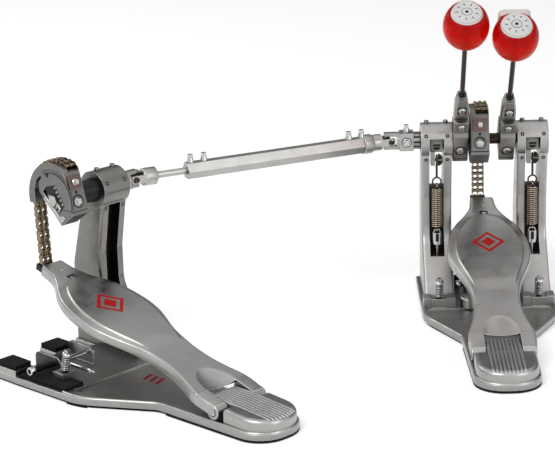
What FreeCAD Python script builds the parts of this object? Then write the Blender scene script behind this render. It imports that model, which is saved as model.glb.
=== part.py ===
import FreeCAD, Part
import math
import os
import Sketcher

# Double bass drum pedal: a main pedal with two beaters, a slave pedal to its left,
# and a telescoping drive shaft with two universal joints between them.
# Each pedal has its own frame: x to the right, y towards the drum, z up, origin on the
# floor below the shaft. The main pedal's frame is the frame of the whole object.

doc = FreeCAD.newDocument("double_pedal")
sheet = doc.addObject("Spreadsheet::Sheet", "Sizes")

SIZES = (
    # general fits
    ("run_gap", 0.05), ("free_gap", 0.5), ("seat_gap", 0.02), ("cut_over", 10),
    # shaft and slave place
    ("shaft_height", 175.5), ("shaft_radius", 5), ("hex_radius", 6),
    ("slave_angle", 45.4), ("drive_angle", 25.2), ("drive_length", 293.1),
    # base plate
    ("mat_depth", 3), ("mat_inset", 2.5), ("base_depth", 6), ("base_half", 72), ("slave_left_half", 78),
    ("base_front", 38), ("base_bay_half", 33), ("base_bay_front", 8), ("base_shoulder", -96),
    ("base_waist", -164), ("base_waist_half", 36.5), ("base_tail_half", 33), ("base_tail_back", 66.2),
    ("base_shoulder_round", 60), ("base_waist_round", 20), ("base_tail_round", 30), ("base_edge", 1.2),
    ("rim_width", 7), ("rim_depth", 1.6), ("recess_front", -74), ("recess_ahead", 24.8),
    # arms that carry the hoop of the drum
    ("arm_inset", 1), ("jaw_half", 13), ("jaw_front", 32), ("jaw_rear", 5), ("jaw_rise", 6),
    ("jaw_pad_depth", 5), ("main_jaw_x", 0.001), ("slave_jaw_x", -8), ("wing_left", -81), ("wing_right", -57),
    ("wing_front", 27), ("wing_rear", -5),
    # dark plate beside the slave's clamp
    ("side_pad_width", 24), ("side_pad_length", 65), ("side_pad_depth", 3.5), ("side_pad_angle", 2.5),
    ("side_pad_x", -63), ("side_pad_y", -39.5),
    # heel plate and hinge
    ("hinge_height", 18.1), ("pin_radius", 3), ("heel_half", 31), ("heel_back", 64.7),
    ("heel_end_height", 20.5), ("heel_mid_back", 37.2), ("heel_mid_height", 22.6), ("heel_crest_back", 6.2),
    ("heel_side_back", 13.2), ("tongue_half", 17.5), ("tongue_ahead", 20.8), ("tongue_height", 24.4),
    ("heel_round", 28.5), ("rib_width", 2.2), ("rib_depth", 1.3), ("rib_pitch", 4.2),
    # footboard, along its own slope
    ("toe_y", 30), ("board_slope", 15.95), ("board_top", 7.5), ("board_skirt", 11.5), ("board_wall", 3.2),
    ("board_plate", 4), ("board_heel", -4), ("board_heel_half", 32.5), ("board_flare", 20),
    ("board_flare_half", 34), ("board_neck_half", 23.4), ("board_wide_half", 43.8),
    ("board_wide_end_half", 40.8),
    ("board_throat_half", 15.4), ("board_toe", 277.5), ("board_toe_half", 13.2), ("board_flare_round", 22),
    ("board_neck_round", 110), ("board_wide_round", 36), ("board_throat_round", 24), ("board_toe_round", 3),
    ("board_edge", 2.4), ("panel_inset", 12.6), ("panel_rise", 0.9), ("panel_edge", 0.6),
    ("ear_radius", 7.4), ("notch_end", 23), ("scoop_end", 53), ("scoop_half", 18.6),
    ("scoop_depth", 1.6), ("toe_slot_length", 9), ("toe_slot_width", 3), ("toe_hole_radius", 1.2),
    # posts
    ("post_x", 51.4), ("post_width", 32.6), ("post_front", 38), ("post_rear", -54), ("post_toe_height", 17),
    ("post_web_rear", -5), ("post_web_drop", 63.5), ("post_neck_rear", -13), ("post_neck_drop", 17.5),
    ("post_front_drop", 83.5), ("post_front_mid", 27.4), ("post_front_mid_drop", 43.5),
    ("post_front_neck", 18.5),
    ("barrel_radius", 19), ("barrel_over", 1), ("post_edge", 3), ("post_web_round", 30), ("slot_width", 15.4),
    ("slot_low_drop", 124.5), ("slot_mid_drop", 57.5), ("slot_rise", 5), ("slot_depth", 28),
    ("slot_blind_drop", 15.5), ("slot_shallow", 14), ("cavity_radius", 13.4),
    # bearings
    ("bearing_radius", 11), ("bearing_width", 6), ("boss_radius", 12.5), ("boss_small", 9),
    ("boss_length", 28), ("sleeve_radius", 7.5), ("yoke_reach", 21.5), ("main_joint_x", 103),
    # hoop clamp
    ("tab_gap", 42), ("tab_depth", 3), ("tab_front", 4.5), ("tab_rear", -34), ("tab_rise", 17),
    ("tab_round", 6), ("main_tab_x", 0.002), ("slave_tab_x", -24.5), ("clamp_y", -26), ("clamp_height", 20),
    ("clamp_pin_radius", 2.5), ("clamp_block_width", 10), ("clamp_block_radius", 6), ("clamp_rod_radius", 2),
    ("clamp_rod_length", 48), ("clamp_knob_radius", 2.6), ("main_key_length", 4), ("slave_key_length", 26),
    ("key_radius", 3), ("key_head_radius", 4.2), ("key_head_length", 6), ("key_square", 4),
    ("key_square_depth", 3),
    # spurs
    ("spur_x", 53), ("main_spur_y", -60), ("slave_spur_y", -43), ("spur_tilt", 16), ("spur_radius", 2.6),
    ("spur_length", 33), ("spur_lift", 2), ("spur_point", 5), ("spur_head_radius", 5.5),
    ("spur_head_length", 3), ("spur_key_side", 6), ("spur_key_length", 6), ("bracket_width", 16),
    ("bracket_depth", 15), ("bracket_rise", 9.5), ("bracket_back", 4), ("spur_spring_radius", 4.2),
    ("spur_wire", 0.5), ("spur_spring_start", 22), ("spur_spring_pitch", 1.75),
    # rocker, hook and return spring
    ("rocker_radius", 12.7), ("rocker_width", 13), ("rocker_rear", 12.5), ("rocker_rise", 2.5),
    ("rocker_low", 10.5), ("rocker_reach", 12), ("rocker_drop", 19), ("rocker_cheek", 4.5),
    ("rocker_leg_half", 4.5), ("rocker_leg_past", 5.5), ("rocker_lap", 1), ("swivel_radius", 6.5),
    ("swivel_width", 3),
    ("swivel_left", 1.4), ("eye_radius", 5), ("eye_wire", 0.9), ("hook_pin_radius", 1.8),
    ("hook_radius", 1.2),
    ("link_ring_radius", 4.6), ("catch_rise", 0.9), ("catch_bend", 2.1), ("spring_radius", 5),
    ("spring_wire", 0.85), ("spring_pitch", 2.15), ("spring_drop", 94), ("anchor_radius", 2),
    ("anchor_nut_radius", 4.8), ("anchor_nut_length", 13), ("anchor_eye", 3.2),
    # cam and chain
    ("cam_left", -16), ("cam_width", 20), ("cam_core", 35), ("cam_rim", 38), ("cam_flange", 5.6),
    ("cam_lip", 0.8), ("cam_rear", -30), ("cam_step", 10), ("cam_tip", 24), ("cam_big_screw_at", 12.5),
    ("cam_small_screw_at", 32), ("chain_pitch", 6.35), ("chain_plate", 1.1), ("chain_plate_half", 2.7),
    ("chain_width", 13), ("chain_roller", 1.7), ("chain_lift", 0.3), ("chain_start", -6), ("chain_end", 116),
    ("chain_gap", 4.6), ("chain_lean", 3.6), ("chain_foot_rise", 0.6), ("clip_play", 0.7),
    ("clip_depth", 9.8),
    ("clip_height", 6.5), ("clip_wall", 1), ("clip_low", -2),
    # beaters
    ("hub_width", 16.4), ("left_hub_x", -34.1), ("right_hub_x", 15.5), ("left_lean", 33), ("right_lean", 37),
    ("hub_low", 18), ("hub_rear", 17), ("hub_front", 14), ("hub_step", 21), ("hub_neck", 26), ("hub_half", 8),
    ("hub_top", 69.5), ("hub_edge", 1), ("slit_width", 0.9), ("hub_slit_at", 12.5), ("cam_slit_at", 6.25),
    ("beater_rod_radius", 3), ("beater_rod_start", 32), ("left_head_at", 169), ("right_head_at", 163.4),
    ("head_radius", 24.5), ("head_cap_cut", 18.5), ("cap_radius", 16.5), ("cap_depth", 3.4),
    ("head_pad_cut", 17), ("pad_radius", 16.5), ("pad_depth", 2.6), ("big_screw_radius", 4.6),
    ("big_screw_depth", 4), ("small_screw_radius", 3.2), ("small_screw_depth", 3),
    # shafts and drive
    ("main_shaft_left", -62), ("hex_left", -17.5), ("hex_right", 34), ("shaft_over", 1.5),
    ("sleeve_left", -80), ("sleeve_right", -18.3), ("knurl_radius", 9), ("knurl_length", 7),
    ("coupler_width", 15), ("coupler_half", 9.5), ("yoke_radius", 9), ("yoke_arm", 3.6), ("yoke_width", 8),
    ("yoke_base", 9.5), ("yoke_base_length", 6), ("yoke_past", 4.4), ("cross_radius", 2.4),
    ("cross_reach", 7.4), ("cross_gap", 0.97), ("cross_core", 3.6), ("tube_hex", 9.4), ("tube_start", 20),
    ("rod_showing", 58.4), ("tube_bore_depth", 90), ("drive_rod_radius", 3.5), ("drive_rod_inside", 60),
    ("slave_shaft_left", -18), ("screw_radius", 2.4), ("screw_rise", 5), ("screw_seat", 2.5),
    ("screw_first", 12), ("screw_far_first", 5), ("screw_step", 15), ("screw_key", 5.8),
    ("screw_key_length", 3),
    ("coupler_screw_radius", 3.1), ("coupler_screw_rise", 2.5), ("cap_inset", 6), ("cap_screw_radius", 2.6),
    ("cap_screw_rise", 2.6), ("cap_screw_hole", 6),
)

for row, (alias, number) in enumerate(SIZES, 1):
    sheet.set("A%d" % row, alias)
    sheet.set("B%d" % row, str(number))
    sheet.setAlias("B%d" % row, alias)
doc.recompute()


class Size:
    """A length that carries its number and the sheet expression it comes from."""

    def __init__(self, number, text):
        self.number = float(number)
        self.text = text

    def _with(self, other, sign, number, turned=False):
        text = other.text if isinstance(other, Size) else repr(float(other))
        first, second = (text, self.text) if turned else (self.text, text)
        return Size(number, "(%s %s %s)" % (first, sign, second))

    def __add__(self, other):
        return self._with(other, "+", self.number + float(other))

    def __radd__(self, other):
        return self._with(other, "+", float(other) + self.number, True)

    def __sub__(self, other):
        return self._with(other, "-", self.number - float(other))

    def __rsub__(self, other):
        return self._with(other, "-", float(other) - self.number, True)

    def __mul__(self, other):
        return self._with(other, "*", self.number * float(other))

    def __rmul__(self, other):
        return self._with(other, "*", self.number * float(other), True)

    def __truediv__(self, other):
        return self._with(other, "/", self.number / float(other))

    def __neg__(self):
        return Size(-self.number, "(-%s)" % self.text)

    def __float__(self):
        return self.number


class Named:
    """The sizes of the sheet by name."""

    def __getattr__(self, alias):
        return Size(sheet.get(alias), "Sizes." + alias)


of = Named()
FIRST, LAST = 1, 2
ORIGIN, SKETCH_X, SKETCH_Y = -1, -1, -2
RIGHT, LEFT = 1, -1
X_AXIS = FreeCAD.Vector(1, 0, 0)
Y_AXIS = FreeCAD.Vector(0, 1, 0)
Z_AXIS = FreeCAD.Vector(0, 0, 1)
X_BACK = FreeCAD.Vector(-1, 0, 0)
Y_BACK = FreeCAD.Vector(0, -1, 0)
Z_BACK = FreeCAD.Vector(0, 0, -1)
NEAR = 1e-4
QUARTER_TURN = 90
nodes = []


def spot(x=0, y=0, z=0):
    return FreeCAD.Vector(float(x), float(y), float(z))


def turned(axis, degrees, at=spot()):
    return FreeCAD.Placement(at, FreeCAD.Rotation(axis, float(degrees)))


def facing(direction, at=spot()):
    return FreeCAD.Placement(at, FreeCAD.Rotation(Z_AXIS, direction))


def bind(thing, **sizes):
    for name, size in sizes.items():
        if isinstance(size, Size):
            thing.setExpression(name, size.text)
        else:
            setattr(thing, name, float(size))


def node(thing, label, frame=None):
    """Names a finished sub-part and sets it in its frame."""
    thing.Label = label
    if frame is not None:
        thing.Placement = frame.multiply(thing.Placement)
    nodes.append(thing)
    return thing


def rod(radius, length, at=spot(), axis=Z_AXIS):
    thing = doc.addObject("Part::Cylinder", "rod")
    bind(thing, Radius=radius, Height=length)
    thing.Placement = facing(axis, at)
    return thing


def taper(low, high, length, at=spot(), axis=Z_AXIS):
    thing = doc.addObject("Part::Cone", "taper")
    bind(thing, Radius1=low, Radius2=high, Height=length)
    thing.Placement = facing(axis, at)
    return thing


def block(length, width, height, at=spot()):
    """A box with its middle over the spot in x and y, standing on the spot's z."""
    thing = doc.addObject("Part::Box", "block")
    bind(thing, Length=length, Width=width, Height=height)
    thing.Placement = FreeCAD.Placement(at - spot(length / 2, width / 2), FreeCAD.Rotation())
    return thing


def hexagon(radius, length, at=spot(), axis=Z_AXIS):
    thing = doc.addObject("Part::Prism", "hexagon")
    thing.Polygon = 6
    bind(thing, Circumradius=radius, Height=length)
    thing.Placement = facing(axis, at).multiply(turned(Z_AXIS, 30))
    return thing


def ball(radius, at=spot()):
    thing = doc.addObject("Part::Sphere", "ball")
    bind(thing, Radius=radius)
    thing.Placement = FreeCAD.Placement(at, FreeCAD.Rotation())
    return thing


def ring(outer, inner, length, at=spot(), axis=Z_AXIS):
    return cut(rod(outer, length, at, axis), rod(inner, length, at, axis))


def fuse(*things):
    if len(things) == 1:
        return things[0]
    thing = doc.addObject("Part::MultiFuse", "fuse")
    thing.Shapes = list(things)
    return thing


def cut(thing, *tools):
    made = doc.addObject("Part::Cut", "cut")
    made.Base = thing
    made.Tool = fuse(*tools)
    return made


def common(first, second):
    made = doc.addObject("Part::Common", "common")
    made.Base = first
    made.Tool = second
    return made


def group(*things):
    made = doc.addObject("Part::Compound", "group")
    made.Links = list(things)
    return made


def moved(thing, frame):
    thing.Placement = frame.multiply(thing.Placement)
    return thing


def sketch(body, role, offset):
    made = body.newObject("Sketcher::SketchObject", "outline")
    plane = [plane for plane in body.Origin.OriginFeatures if plane.Role == role][0]
    made.AttachmentSupport = (plane, [""])
    made.MapMode = "FlatFace"
    if isinstance(offset, Size):
        made.AttachmentOffset = FreeCAD.Placement(spot(0, 0, offset), FreeCAD.Rotation())
        made.setExpression("AttachmentOffset.Base.z", offset.text)
    return made


def fix_point(made, line, end, across, up):
    """Holds a point of a sketch at its two sizes."""
    for kind, size, axis in (("DistanceX", across, SKETCH_Y), ("DistanceY", up, SKETCH_X)):
        if isinstance(size, Size):
            index = made.addConstraint(Sketcher.Constraint(kind, ORIGIN, FIRST, line, end, size.number))
            made.setExpression("Constraints[%d]" % index, size.text)
        else:
            made.addConstraint(Sketcher.Constraint("PointOnObject", line, end, axis))


def polygon(body, role, offset, corners):
    made = sketch(body, role, offset)
    points = [spot(across, up) for across, up in corners]
    count = len(points)
    for index in range(count):
        made.addGeometry(Part.LineSegment(points[index], points[(index + 1) % count]), False)
    for index in range(count):
        made.addConstraint(Sketcher.Constraint("Coincident", index, LAST, (index + 1) % count, FIRST))
    for index, (across, up) in enumerate(corners):
        fix_point(made, index, FIRST, across, up)
    return made


def circles(body, role, offset, rounds):
    """A sketch of circles, each given as centre across, centre up and radius."""
    made = sketch(body, role, offset)
    for index, (across, up, radius) in enumerate(rounds):
        made.addGeometry(Part.Circle(spot(across, up), Z_AXIS, float(radius)), False)
        held = made.addConstraint(Sketcher.Constraint("Radius", index, float(radius)))
        made.setExpression("Constraints[%d]" % held, radius.text)
        fix_point(made, index, 3, across, up)
    return made


def feature(body, kind, outline, length):
    made = body.newObject("PartDesign::" + kind, kind.lower())
    made.Profile = outline
    outline.Visibility = False
    bind(made, Length=length)
    body.Tip = made
    doc.recompute()
    return made


def pad(body, outline, length):
    return feature(body, "Pad", outline, length)


def pocket(body, outline, depth):
    before = body.Shape.Volume
    made = feature(body, "Pocket", outline, depth)
    if body.Shape.Volume >= before - NEAR:
        raise RuntimeError("pocket removes nothing in " + body.Label)
    return made


def new_body(label):
    made = doc.addObject("PartDesign::Body", "body")
    made.Label = label
    return made


def edges_where(shape, test):
    return ["Edge%d" % index for index, edge in enumerate(shape.Edges, 1) if test(edge)]


def dress(body, kind, size, test):
    """Rounds or bevels the edges of the body that pass the test."""
    before = body.Tip
    chosen = edges_where(before.Shape, test)
    if not chosen:
        raise RuntimeError("no edge to dress in " + body.Label)
    made = body.newObject("PartDesign::" + kind, kind.lower())
    made.Base = (before, chosen)
    bind(made, **{"Radius" if kind == "Fillet" else "Size": size})
    body.Tip = made
    doc.recompute()
    return made


def along(edge, axis):
    """True for a straight edge along an axis."""
    if len(edge.Vertexes) < 2 or edge.Curve.TypeId != "Part::GeomLine":
        return False
    run = edge.Vertexes[1].Point - edge.Vertexes[0].Point
    return abs(run.dot(axis)) > run.Length - NEAR


def at_corner(axis, corners):
    """A test for the edges along an axis that pass through given corners."""
    def test(edge):
        if not along(edge, axis):
            return False
        point = edge.Vertexes[0].Point
        flat = point - axis * point.dot(axis)
        return any((flat - corner).Length < 0.01 for corner in corners)
    return test


def in_plane(axis, level, keep=lambda edge: True):
    """A test for the edges that lie in a plane across an axis."""
    def test(edge):
        box = edge.BoundBox
        low = spot(box.XMin, box.YMin, box.ZMin).dot(axis)
        high = spot(box.XMax, box.YMax, box.ZMax).dot(axis)
        return abs(low - float(level)) < 0.01 and abs(high - float(level)) < 0.01 and keep(edge)
    return test


def mirrored(half):
    """The whole outline of which the right half is given from front to rear."""
    return list(half) + [(-across, up) for across, up in reversed(half)]


# Frames of the two pedals and of the drive shaft.
joint_x = of.post_x + of.post_width / 2 + of.yoke_reach
drive_turn = math.radians(float(of.drive_angle))
slave_turn = math.radians(float(of.slave_angle))
main_joint = spot(-of.main_joint_x, 0, of.shaft_height)
drive_way = spot(math.cos(drive_turn), math.sin(drive_turn))
slave_joint = main_joint - drive_way * float(of.drive_length)
slave_way = spot(math.cos(slave_turn), math.sin(slave_turn))
slave_origin = slave_joint - slave_way * float(joint_x) - spot(0, 0, of.shaft_height)
FRAMES = {"main": FreeCAD.Placement(), "slave": turned(Z_AXIS, of.slave_angle, slave_origin)}


def frame_of(unit, local=None):
    frame = FreeCAD.Placement(FRAMES[unit])
    return frame if local is None else frame.multiply(local)


base_top = of.mat_depth + of.base_depth
jaw_top = base_top + of.jaw_rise
board_turn = math.radians(float(of.board_slope))
hinge_y = of.toe_y - of.board_toe * math.cos(board_turn)
toe_height = of.hinge_height + of.board_toe * math.sin(board_turn)
base_tail = hinge_y - of.base_tail_back
slot_low = of.shaft_height - of.slot_low_drop
spring_low = of.shaft_height - of.spring_drop


def base_outline(unit, inset):
    """The plan outline of a base plate, drawn in from its edge by an inset."""
    right = [
        (of.base_half - inset, of.base_front - inset),
        (of.base_bay_half + inset, of.base_front - inset),
        (of.base_bay_half + inset, of.base_bay_front - inset),
    ]
    jaw_x = of.slave_jaw_x if unit == "slave" else of.main_jaw_x
    jaw = [
        (jaw_x + of.jaw_half - inset, of.base_bay_front - inset),
        (jaw_x + of.jaw_half - inset, of.jaw_front - inset),
        (jaw_x - of.jaw_half + inset, of.jaw_front - inset),
        (jaw_x - of.jaw_half + inset, of.base_bay_front - inset),
    ]
    if unit == "slave":
        left = [
            (of.wing_right - inset, of.base_bay_front - inset),
            (of.wing_right - inset, of.wing_front - inset),
            (of.wing_left + inset, of.wing_front - inset),
            (of.wing_left + inset, of.wing_rear),
        ]
    else:
        left = [(-across, up) for across, up in reversed(right)]
    tail = [
        (of.base_half - inset, of.base_shoulder),
        (of.base_waist_half - inset, of.base_waist),
        (of.base_tail_half - inset, base_tail + inset),
    ]
    rear = [(-across, up) for across, up in tail]
    if unit == "slave":
        rear[0] = (-(of.slave_left_half - inset), of.base_shoulder)
    return right + jaw + left + rear + tail[::-1]


def round_base(body, outline):
    """Rounds the waist, shoulders and tail of a base outline."""
    count = len(outline)
    corner = [spot(across, up) for across, up in outline]
    for size, chosen in ((of.base_shoulder_round, (count - 6, count - 1)),
                         (of.base_waist_round, (count - 5, count - 2)),
                         (of.base_tail_round, (count - 4, count - 3))):
        dress(body, "Fillet", size, at_corner(Z_AXIS, [corner[index] for index in chosen]))


def spur_y(unit):
    return of.slave_spur_y if unit == "slave" else of.main_spur_y


def spur_place(unit, side):
    """Where a floor spur stands in its pedal's frame, its z along the spur from the floor up."""
    return turned(X_AXIS, of.spur_tilt, spot(side * of.spur_x, spur_y(unit)))


def spur_sides(unit):
    return (LEFT,) if unit == "slave" else (LEFT, RIGHT)


def spur_bores(unit, room):
    """Tools that bore the way of each floor spur."""
    return [moved(rod(of.spur_radius + room, of.spur_length + of.cut_over, spot(0, 0, -of.cut_over)),
                  spur_place(unit, side)) for side in spur_sides(unit)]


def bracket(unit, side, room):
    """The block that guides a floor spur, made larger all round by the room."""
    return block(of.bracket_width + room, of.bracket_depth + room, of.bracket_rise,
                 spot(side * of.spur_x, spur_y(unit) - of.bracket_back, base_top))


def tab_x(unit):
    return of.slave_tab_x if unit == "slave" else of.main_tab_x


def base_plate(unit):
    body = new_body(unit + "_base")
    outline = base_outline(unit, 0)
    pad(body, polygon(body, "XY_Plane", of.mat_depth, outline), of.base_depth)
    round_base(body, outline)
    rear_of_bay = -float(of.arm_inset)
    dress(body, "Fillet", of.base_edge,
          in_plane(Z_AXIS, base_top, lambda edge: edge.CenterOfMass.y < rear_of_bay))
    rim = of.rim_width
    recess = mirrored([
        (of.base_half - rim, of.recess_front),
        (of.base_half - rim, of.base_shoulder),
        (of.base_waist_half - rim, of.base_waist),
        (of.base_tail_half - rim, hinge_y + of.recess_ahead),
    ])
    pocket(body, polygon(body, "XY_Plane", base_top, recess), of.rim_depth)
    inset = of.arm_inset
    jaw_x = of.slave_jaw_x if unit == "slave" else of.main_jaw_x
    arms = [(jaw_x - of.jaw_half, jaw_x + of.jaw_half, of.jaw_rear, of.jaw_front)]
    if unit == "slave":
        arms.append((of.wing_left, of.wing_right, of.wing_rear, of.wing_front))
    for left, right, rear, front in arms:
        corners = [(left + inset, rear + inset), (right - inset, rear + inset),
                   (right - inset, front - inset), (left + inset, front - inset)]
        pad(body, polygon(body, "XY_Plane", base_top, corners), of.jaw_rise)
    tab_top = base_top + of.tab_rise
    tab = [(of.tab_rear, base_top), (of.tab_front, base_top), (of.tab_front, tab_top), (of.tab_rear, tab_top)]
    starts = [tab_x(unit) + side * of.tab_gap / 2 - of.tab_depth / 2 for side in (LEFT, RIGHT)]
    for start in starts:
        pad(body, polygon(body, "YZ_Plane", start, tab), of.tab_depth)
    tops = [spot(0, across, tab_top) for across in (of.tab_rear, of.tab_front)]
    dress(body, "Fillet", of.tab_round, at_corner(X_AXIS, tops))
    bore = circles(body, "YZ_Plane", starts[1] + of.tab_depth,
                   [(of.clamp_y, of.clamp_height, of.clamp_pin_radius + of.run_gap)])
    pocket(body, bore, of.tab_gap + of.tab_depth)
    brackets = [bracket(unit, side, 0) for side in spur_sides(unit)]
    return node(cut(fuse(body, *brackets), *spur_bores(unit, of.run_gap)), unit + "_base_plate",
                frame_of(unit))


def mat(unit):
    """The ribbed rubber below a base plate with the pads on its arms."""
    body = new_body(unit + "_mat")
    outline = base_outline(unit, of.mat_inset)
    pad(body, polygon(body, "XY_Plane", 0, outline), of.mat_depth)
    round_base(body, outline)
    tools = spur_bores(unit, of.free_gap)
    inset = of.arm_inset * 2
    jaw_x = of.slave_jaw_x if unit == "slave" else of.main_jaw_x
    pads = [block((of.jaw_half - inset) * 2, of.jaw_front - of.jaw_rear - inset * 2, of.jaw_pad_depth,
                  spot(jaw_x, (of.jaw_front + of.jaw_rear) / 2, jaw_top))]
    if unit == "slave":
        pads.append(block(of.wing_right - of.wing_left - inset * 2, of.wing_front - of.wing_rear - inset * 2,
                          of.jaw_pad_depth, spot((of.wing_left + of.wing_right) / 2,
                                                 (of.wing_front + of.wing_rear) / 2, jaw_top)))
        plate = moved(block(of.side_pad_width, of.side_pad_length, of.side_pad_depth),
                      turned(Z_AXIS, of.side_pad_angle, spot(of.side_pad_x, of.side_pad_y, base_top)))
        pads.append(cut(plate, bracket(unit, LEFT, of.free_gap * 2)))
    return node(group(cut(body, *tools), *pads), unit + "_rubber", frame_of(unit))


RIB_COUNT = 8


def heel_plate(unit):
    """The ribbed heel plate with the tongue that carries the hinge pin."""
    body = new_body(unit + "_heel")
    end, tongue, side_end = hinge_y - of.heel_back, hinge_y + of.tongue_ahead, hinge_y - of.heel_side_back
    crest = [(end, of.heel_end_height), (hinge_y - of.heel_mid_back, of.heel_mid_height),
             (hinge_y - of.heel_crest_back, of.tongue_height), (tongue, of.tongue_height)]
    ground = [(tongue, base_top), (end, base_top)]
    pad(body, polygon(body, "YZ_Plane", -of.heel_half, crest + ground), of.heel_half * 2)
    outer, front = of.heel_half + of.cut_over, tongue + of.cut_over
    for side in (LEFT, RIGHT):
        corners = [(side * of.tongue_half, side_end), (side * outer, side_end),
                   (side * outer, front), (side * of.tongue_half, front)]
        pocket(body, polygon(body, "XY_Plane", of.tongue_height, corners), of.tongue_height - base_top)
    rib = [(along_y, height + of.rib_depth) for along_y, height in crest] + ground
    for index in range(RIB_COUNT):
        start = (index - (RIB_COUNT - 1) / 2) * of.rib_pitch - of.rib_width / 2
        pad(body, polygon(body, "YZ_Plane", start, rib), of.rib_width)
    bore = circles(body, "YZ_Plane", of.heel_half, [(hinge_y, of.hinge_height, of.pin_radius + of.seat_gap)])
    pocket(body, bore, of.heel_half * 2)
    plan = new_body(unit + "_heel_plan")
    ends = [(-of.heel_half, end), (of.heel_half, end)]
    corners = ends + [(of.heel_half, tongue), (-of.heel_half, tongue)]
    pad(plan, polygon(plan, "XY_Plane", base_top, corners), of.tongue_height)
    dress(plan, "Fillet", of.heel_round, at_corner(Z_AXIS, [spot(across, up) for across, up in ends]))
    return node(common(body, plan), unit + "_heel_plate", frame_of(unit))


def board_frame(unit):
    return frame_of(unit, turned(X_AXIS, of.board_slope, spot(0, hinge_y, of.hinge_height)))


SCOOP_SHARES = ((0.4, 1), (0.85, 0.86), (1, 0.7))
# Places along the footboard as shares of the way from the hinge to the toe.
BOARD_SHARES = {"neck": 0.33, "panel_start": 0.365, "wide": 0.5946, "wide_end": 0.7423, "slot": 0.885,
                "panel_end": 0.9225, "throat": 0.926, "hole": 0.942}


def footboard(unit):
    """The footboard: waisted plate with a skirt, raised tread panel and hinge ears."""
    body = new_body(unit + "_footboard")
    at = {name: of.board_toe * share for name, share in BOARD_SHARES.items()}
    half = [
        (of.board_toe_half, of.board_toe), (of.board_throat_half, at["throat"]),
        (of.board_wide_end_half, at["wide_end"]), (of.board_wide_half, at["wide"]),
        (of.board_neck_half, at["neck"]), (of.board_flare_half, of.board_flare),
        (of.board_heel_half, of.board_heel),
    ]
    low = of.board_top - of.board_skirt
    pad(body, polygon(body, "XY_Plane", low, mirrored(half)), of.board_skirt)
    rounds = (of.board_toe_round, of.board_throat_round, of.board_wide_round, of.board_wide_round,
              of.board_neck_round, of.board_flare_round)
    for (across, up), size in zip(half, rounds):
        dress(body, "Fillet", size, at_corner(Z_AXIS, [spot(across, up), spot(-across, up)]))
    heel = float(of.board_heel)
    dress(body, "Fillet", of.board_edge,
          in_plane(Z_AXIS, of.board_top, lambda edge: edge.CenterOfMass.y > heel + NEAR))
    wall = of.board_wall
    hollow = [(of.board_toe_half - wall, of.board_toe - wall * 2)]
    hollow += [(across - wall, up) for across, up in half[1:5]]
    hollow.append((of.board_neck_half - wall, of.notch_end + wall * 3))
    pocket(body, polygon(body, "XY_Plane", of.board_top - of.board_plate, mirrored(hollow)),
           of.board_skirt - of.board_plate)
    inset = of.panel_inset
    panel = [(of.board_throat_half - inset, at["panel_end"]),
             (of.board_wide_end_half - inset, at["wide_end"]),
             (of.board_wide_half - inset, at["wide"]), (of.board_neck_half - inset, at["panel_start"])]
    pad(body, polygon(body, "XY_Plane", of.board_top, mirrored(panel)), of.panel_rise)
    for across, up in panel[1:3]:
        dress(body, "Fillet", of.board_wide_round, at_corner(Z_AXIS, [spot(across, up), spot(-across, up)]))
    dress(body, "Chamfer", of.panel_edge, in_plane(Z_AXIS, of.board_top + of.panel_rise))
    gap = of.tongue_half + of.free_gap
    notch = mirrored([(gap, of.notch_end), (gap, of.board_heel - of.cut_over)])
    pocket(body, polygon(body, "XY_Plane", of.board_top * 2, notch), of.board_skirt * 3)
    scoop = [(of.scoop_half * across, of.scoop_end * up) for across, up in SCOOP_SHARES]
    scoop = mirrored(scoop + [(of.scoop_half, of.notch_end - of.free_gap)])
    pocket(body, polygon(body, "XY_Plane", of.board_top, scoop), of.scoop_depth)
    for side in (LEFT, RIGHT):
        start = gap if side == RIGHT else -of.board_heel_half
        pad(body, circles(body, "YZ_Plane", start, [(0, 0, of.ear_radius)]), of.board_heel_half - gap)
    pocket(body, circles(body, "YZ_Plane", of.board_flare_half, [(0, 0, of.pin_radius + of.run_gap)]),
           of.board_flare_half * 2)
    slot_half = of.toe_slot_length / 2
    slot_end = at["slot"] + of.toe_slot_width
    slot = [(-slot_half, at["slot"]), (slot_half, at["slot"]), (slot_half, slot_end), (-slot_half, slot_end)]
    pocket(body, polygon(body, "XY_Plane", of.board_top * 2, slot), of.board_skirt * 2)
    pocket(body, circles(body, "XY_Plane", of.board_top * 2, [(0, at["hole"], of.toe_hole_radius)]),
           of.board_skirt * 2)
    return node(body, unit + "_footboard", board_frame(unit))


barrel_top = of.shaft_height + of.barrel_radius


def cap_places(side):
    """Where the two cap screws of a barrel stand across the pedal."""
    reach = of.post_width / 2 - of.cap_inset
    return [side * of.post_x - reach, side * of.post_x + reach]


POST_WEB_LOW_SHARE = 0.4


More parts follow.
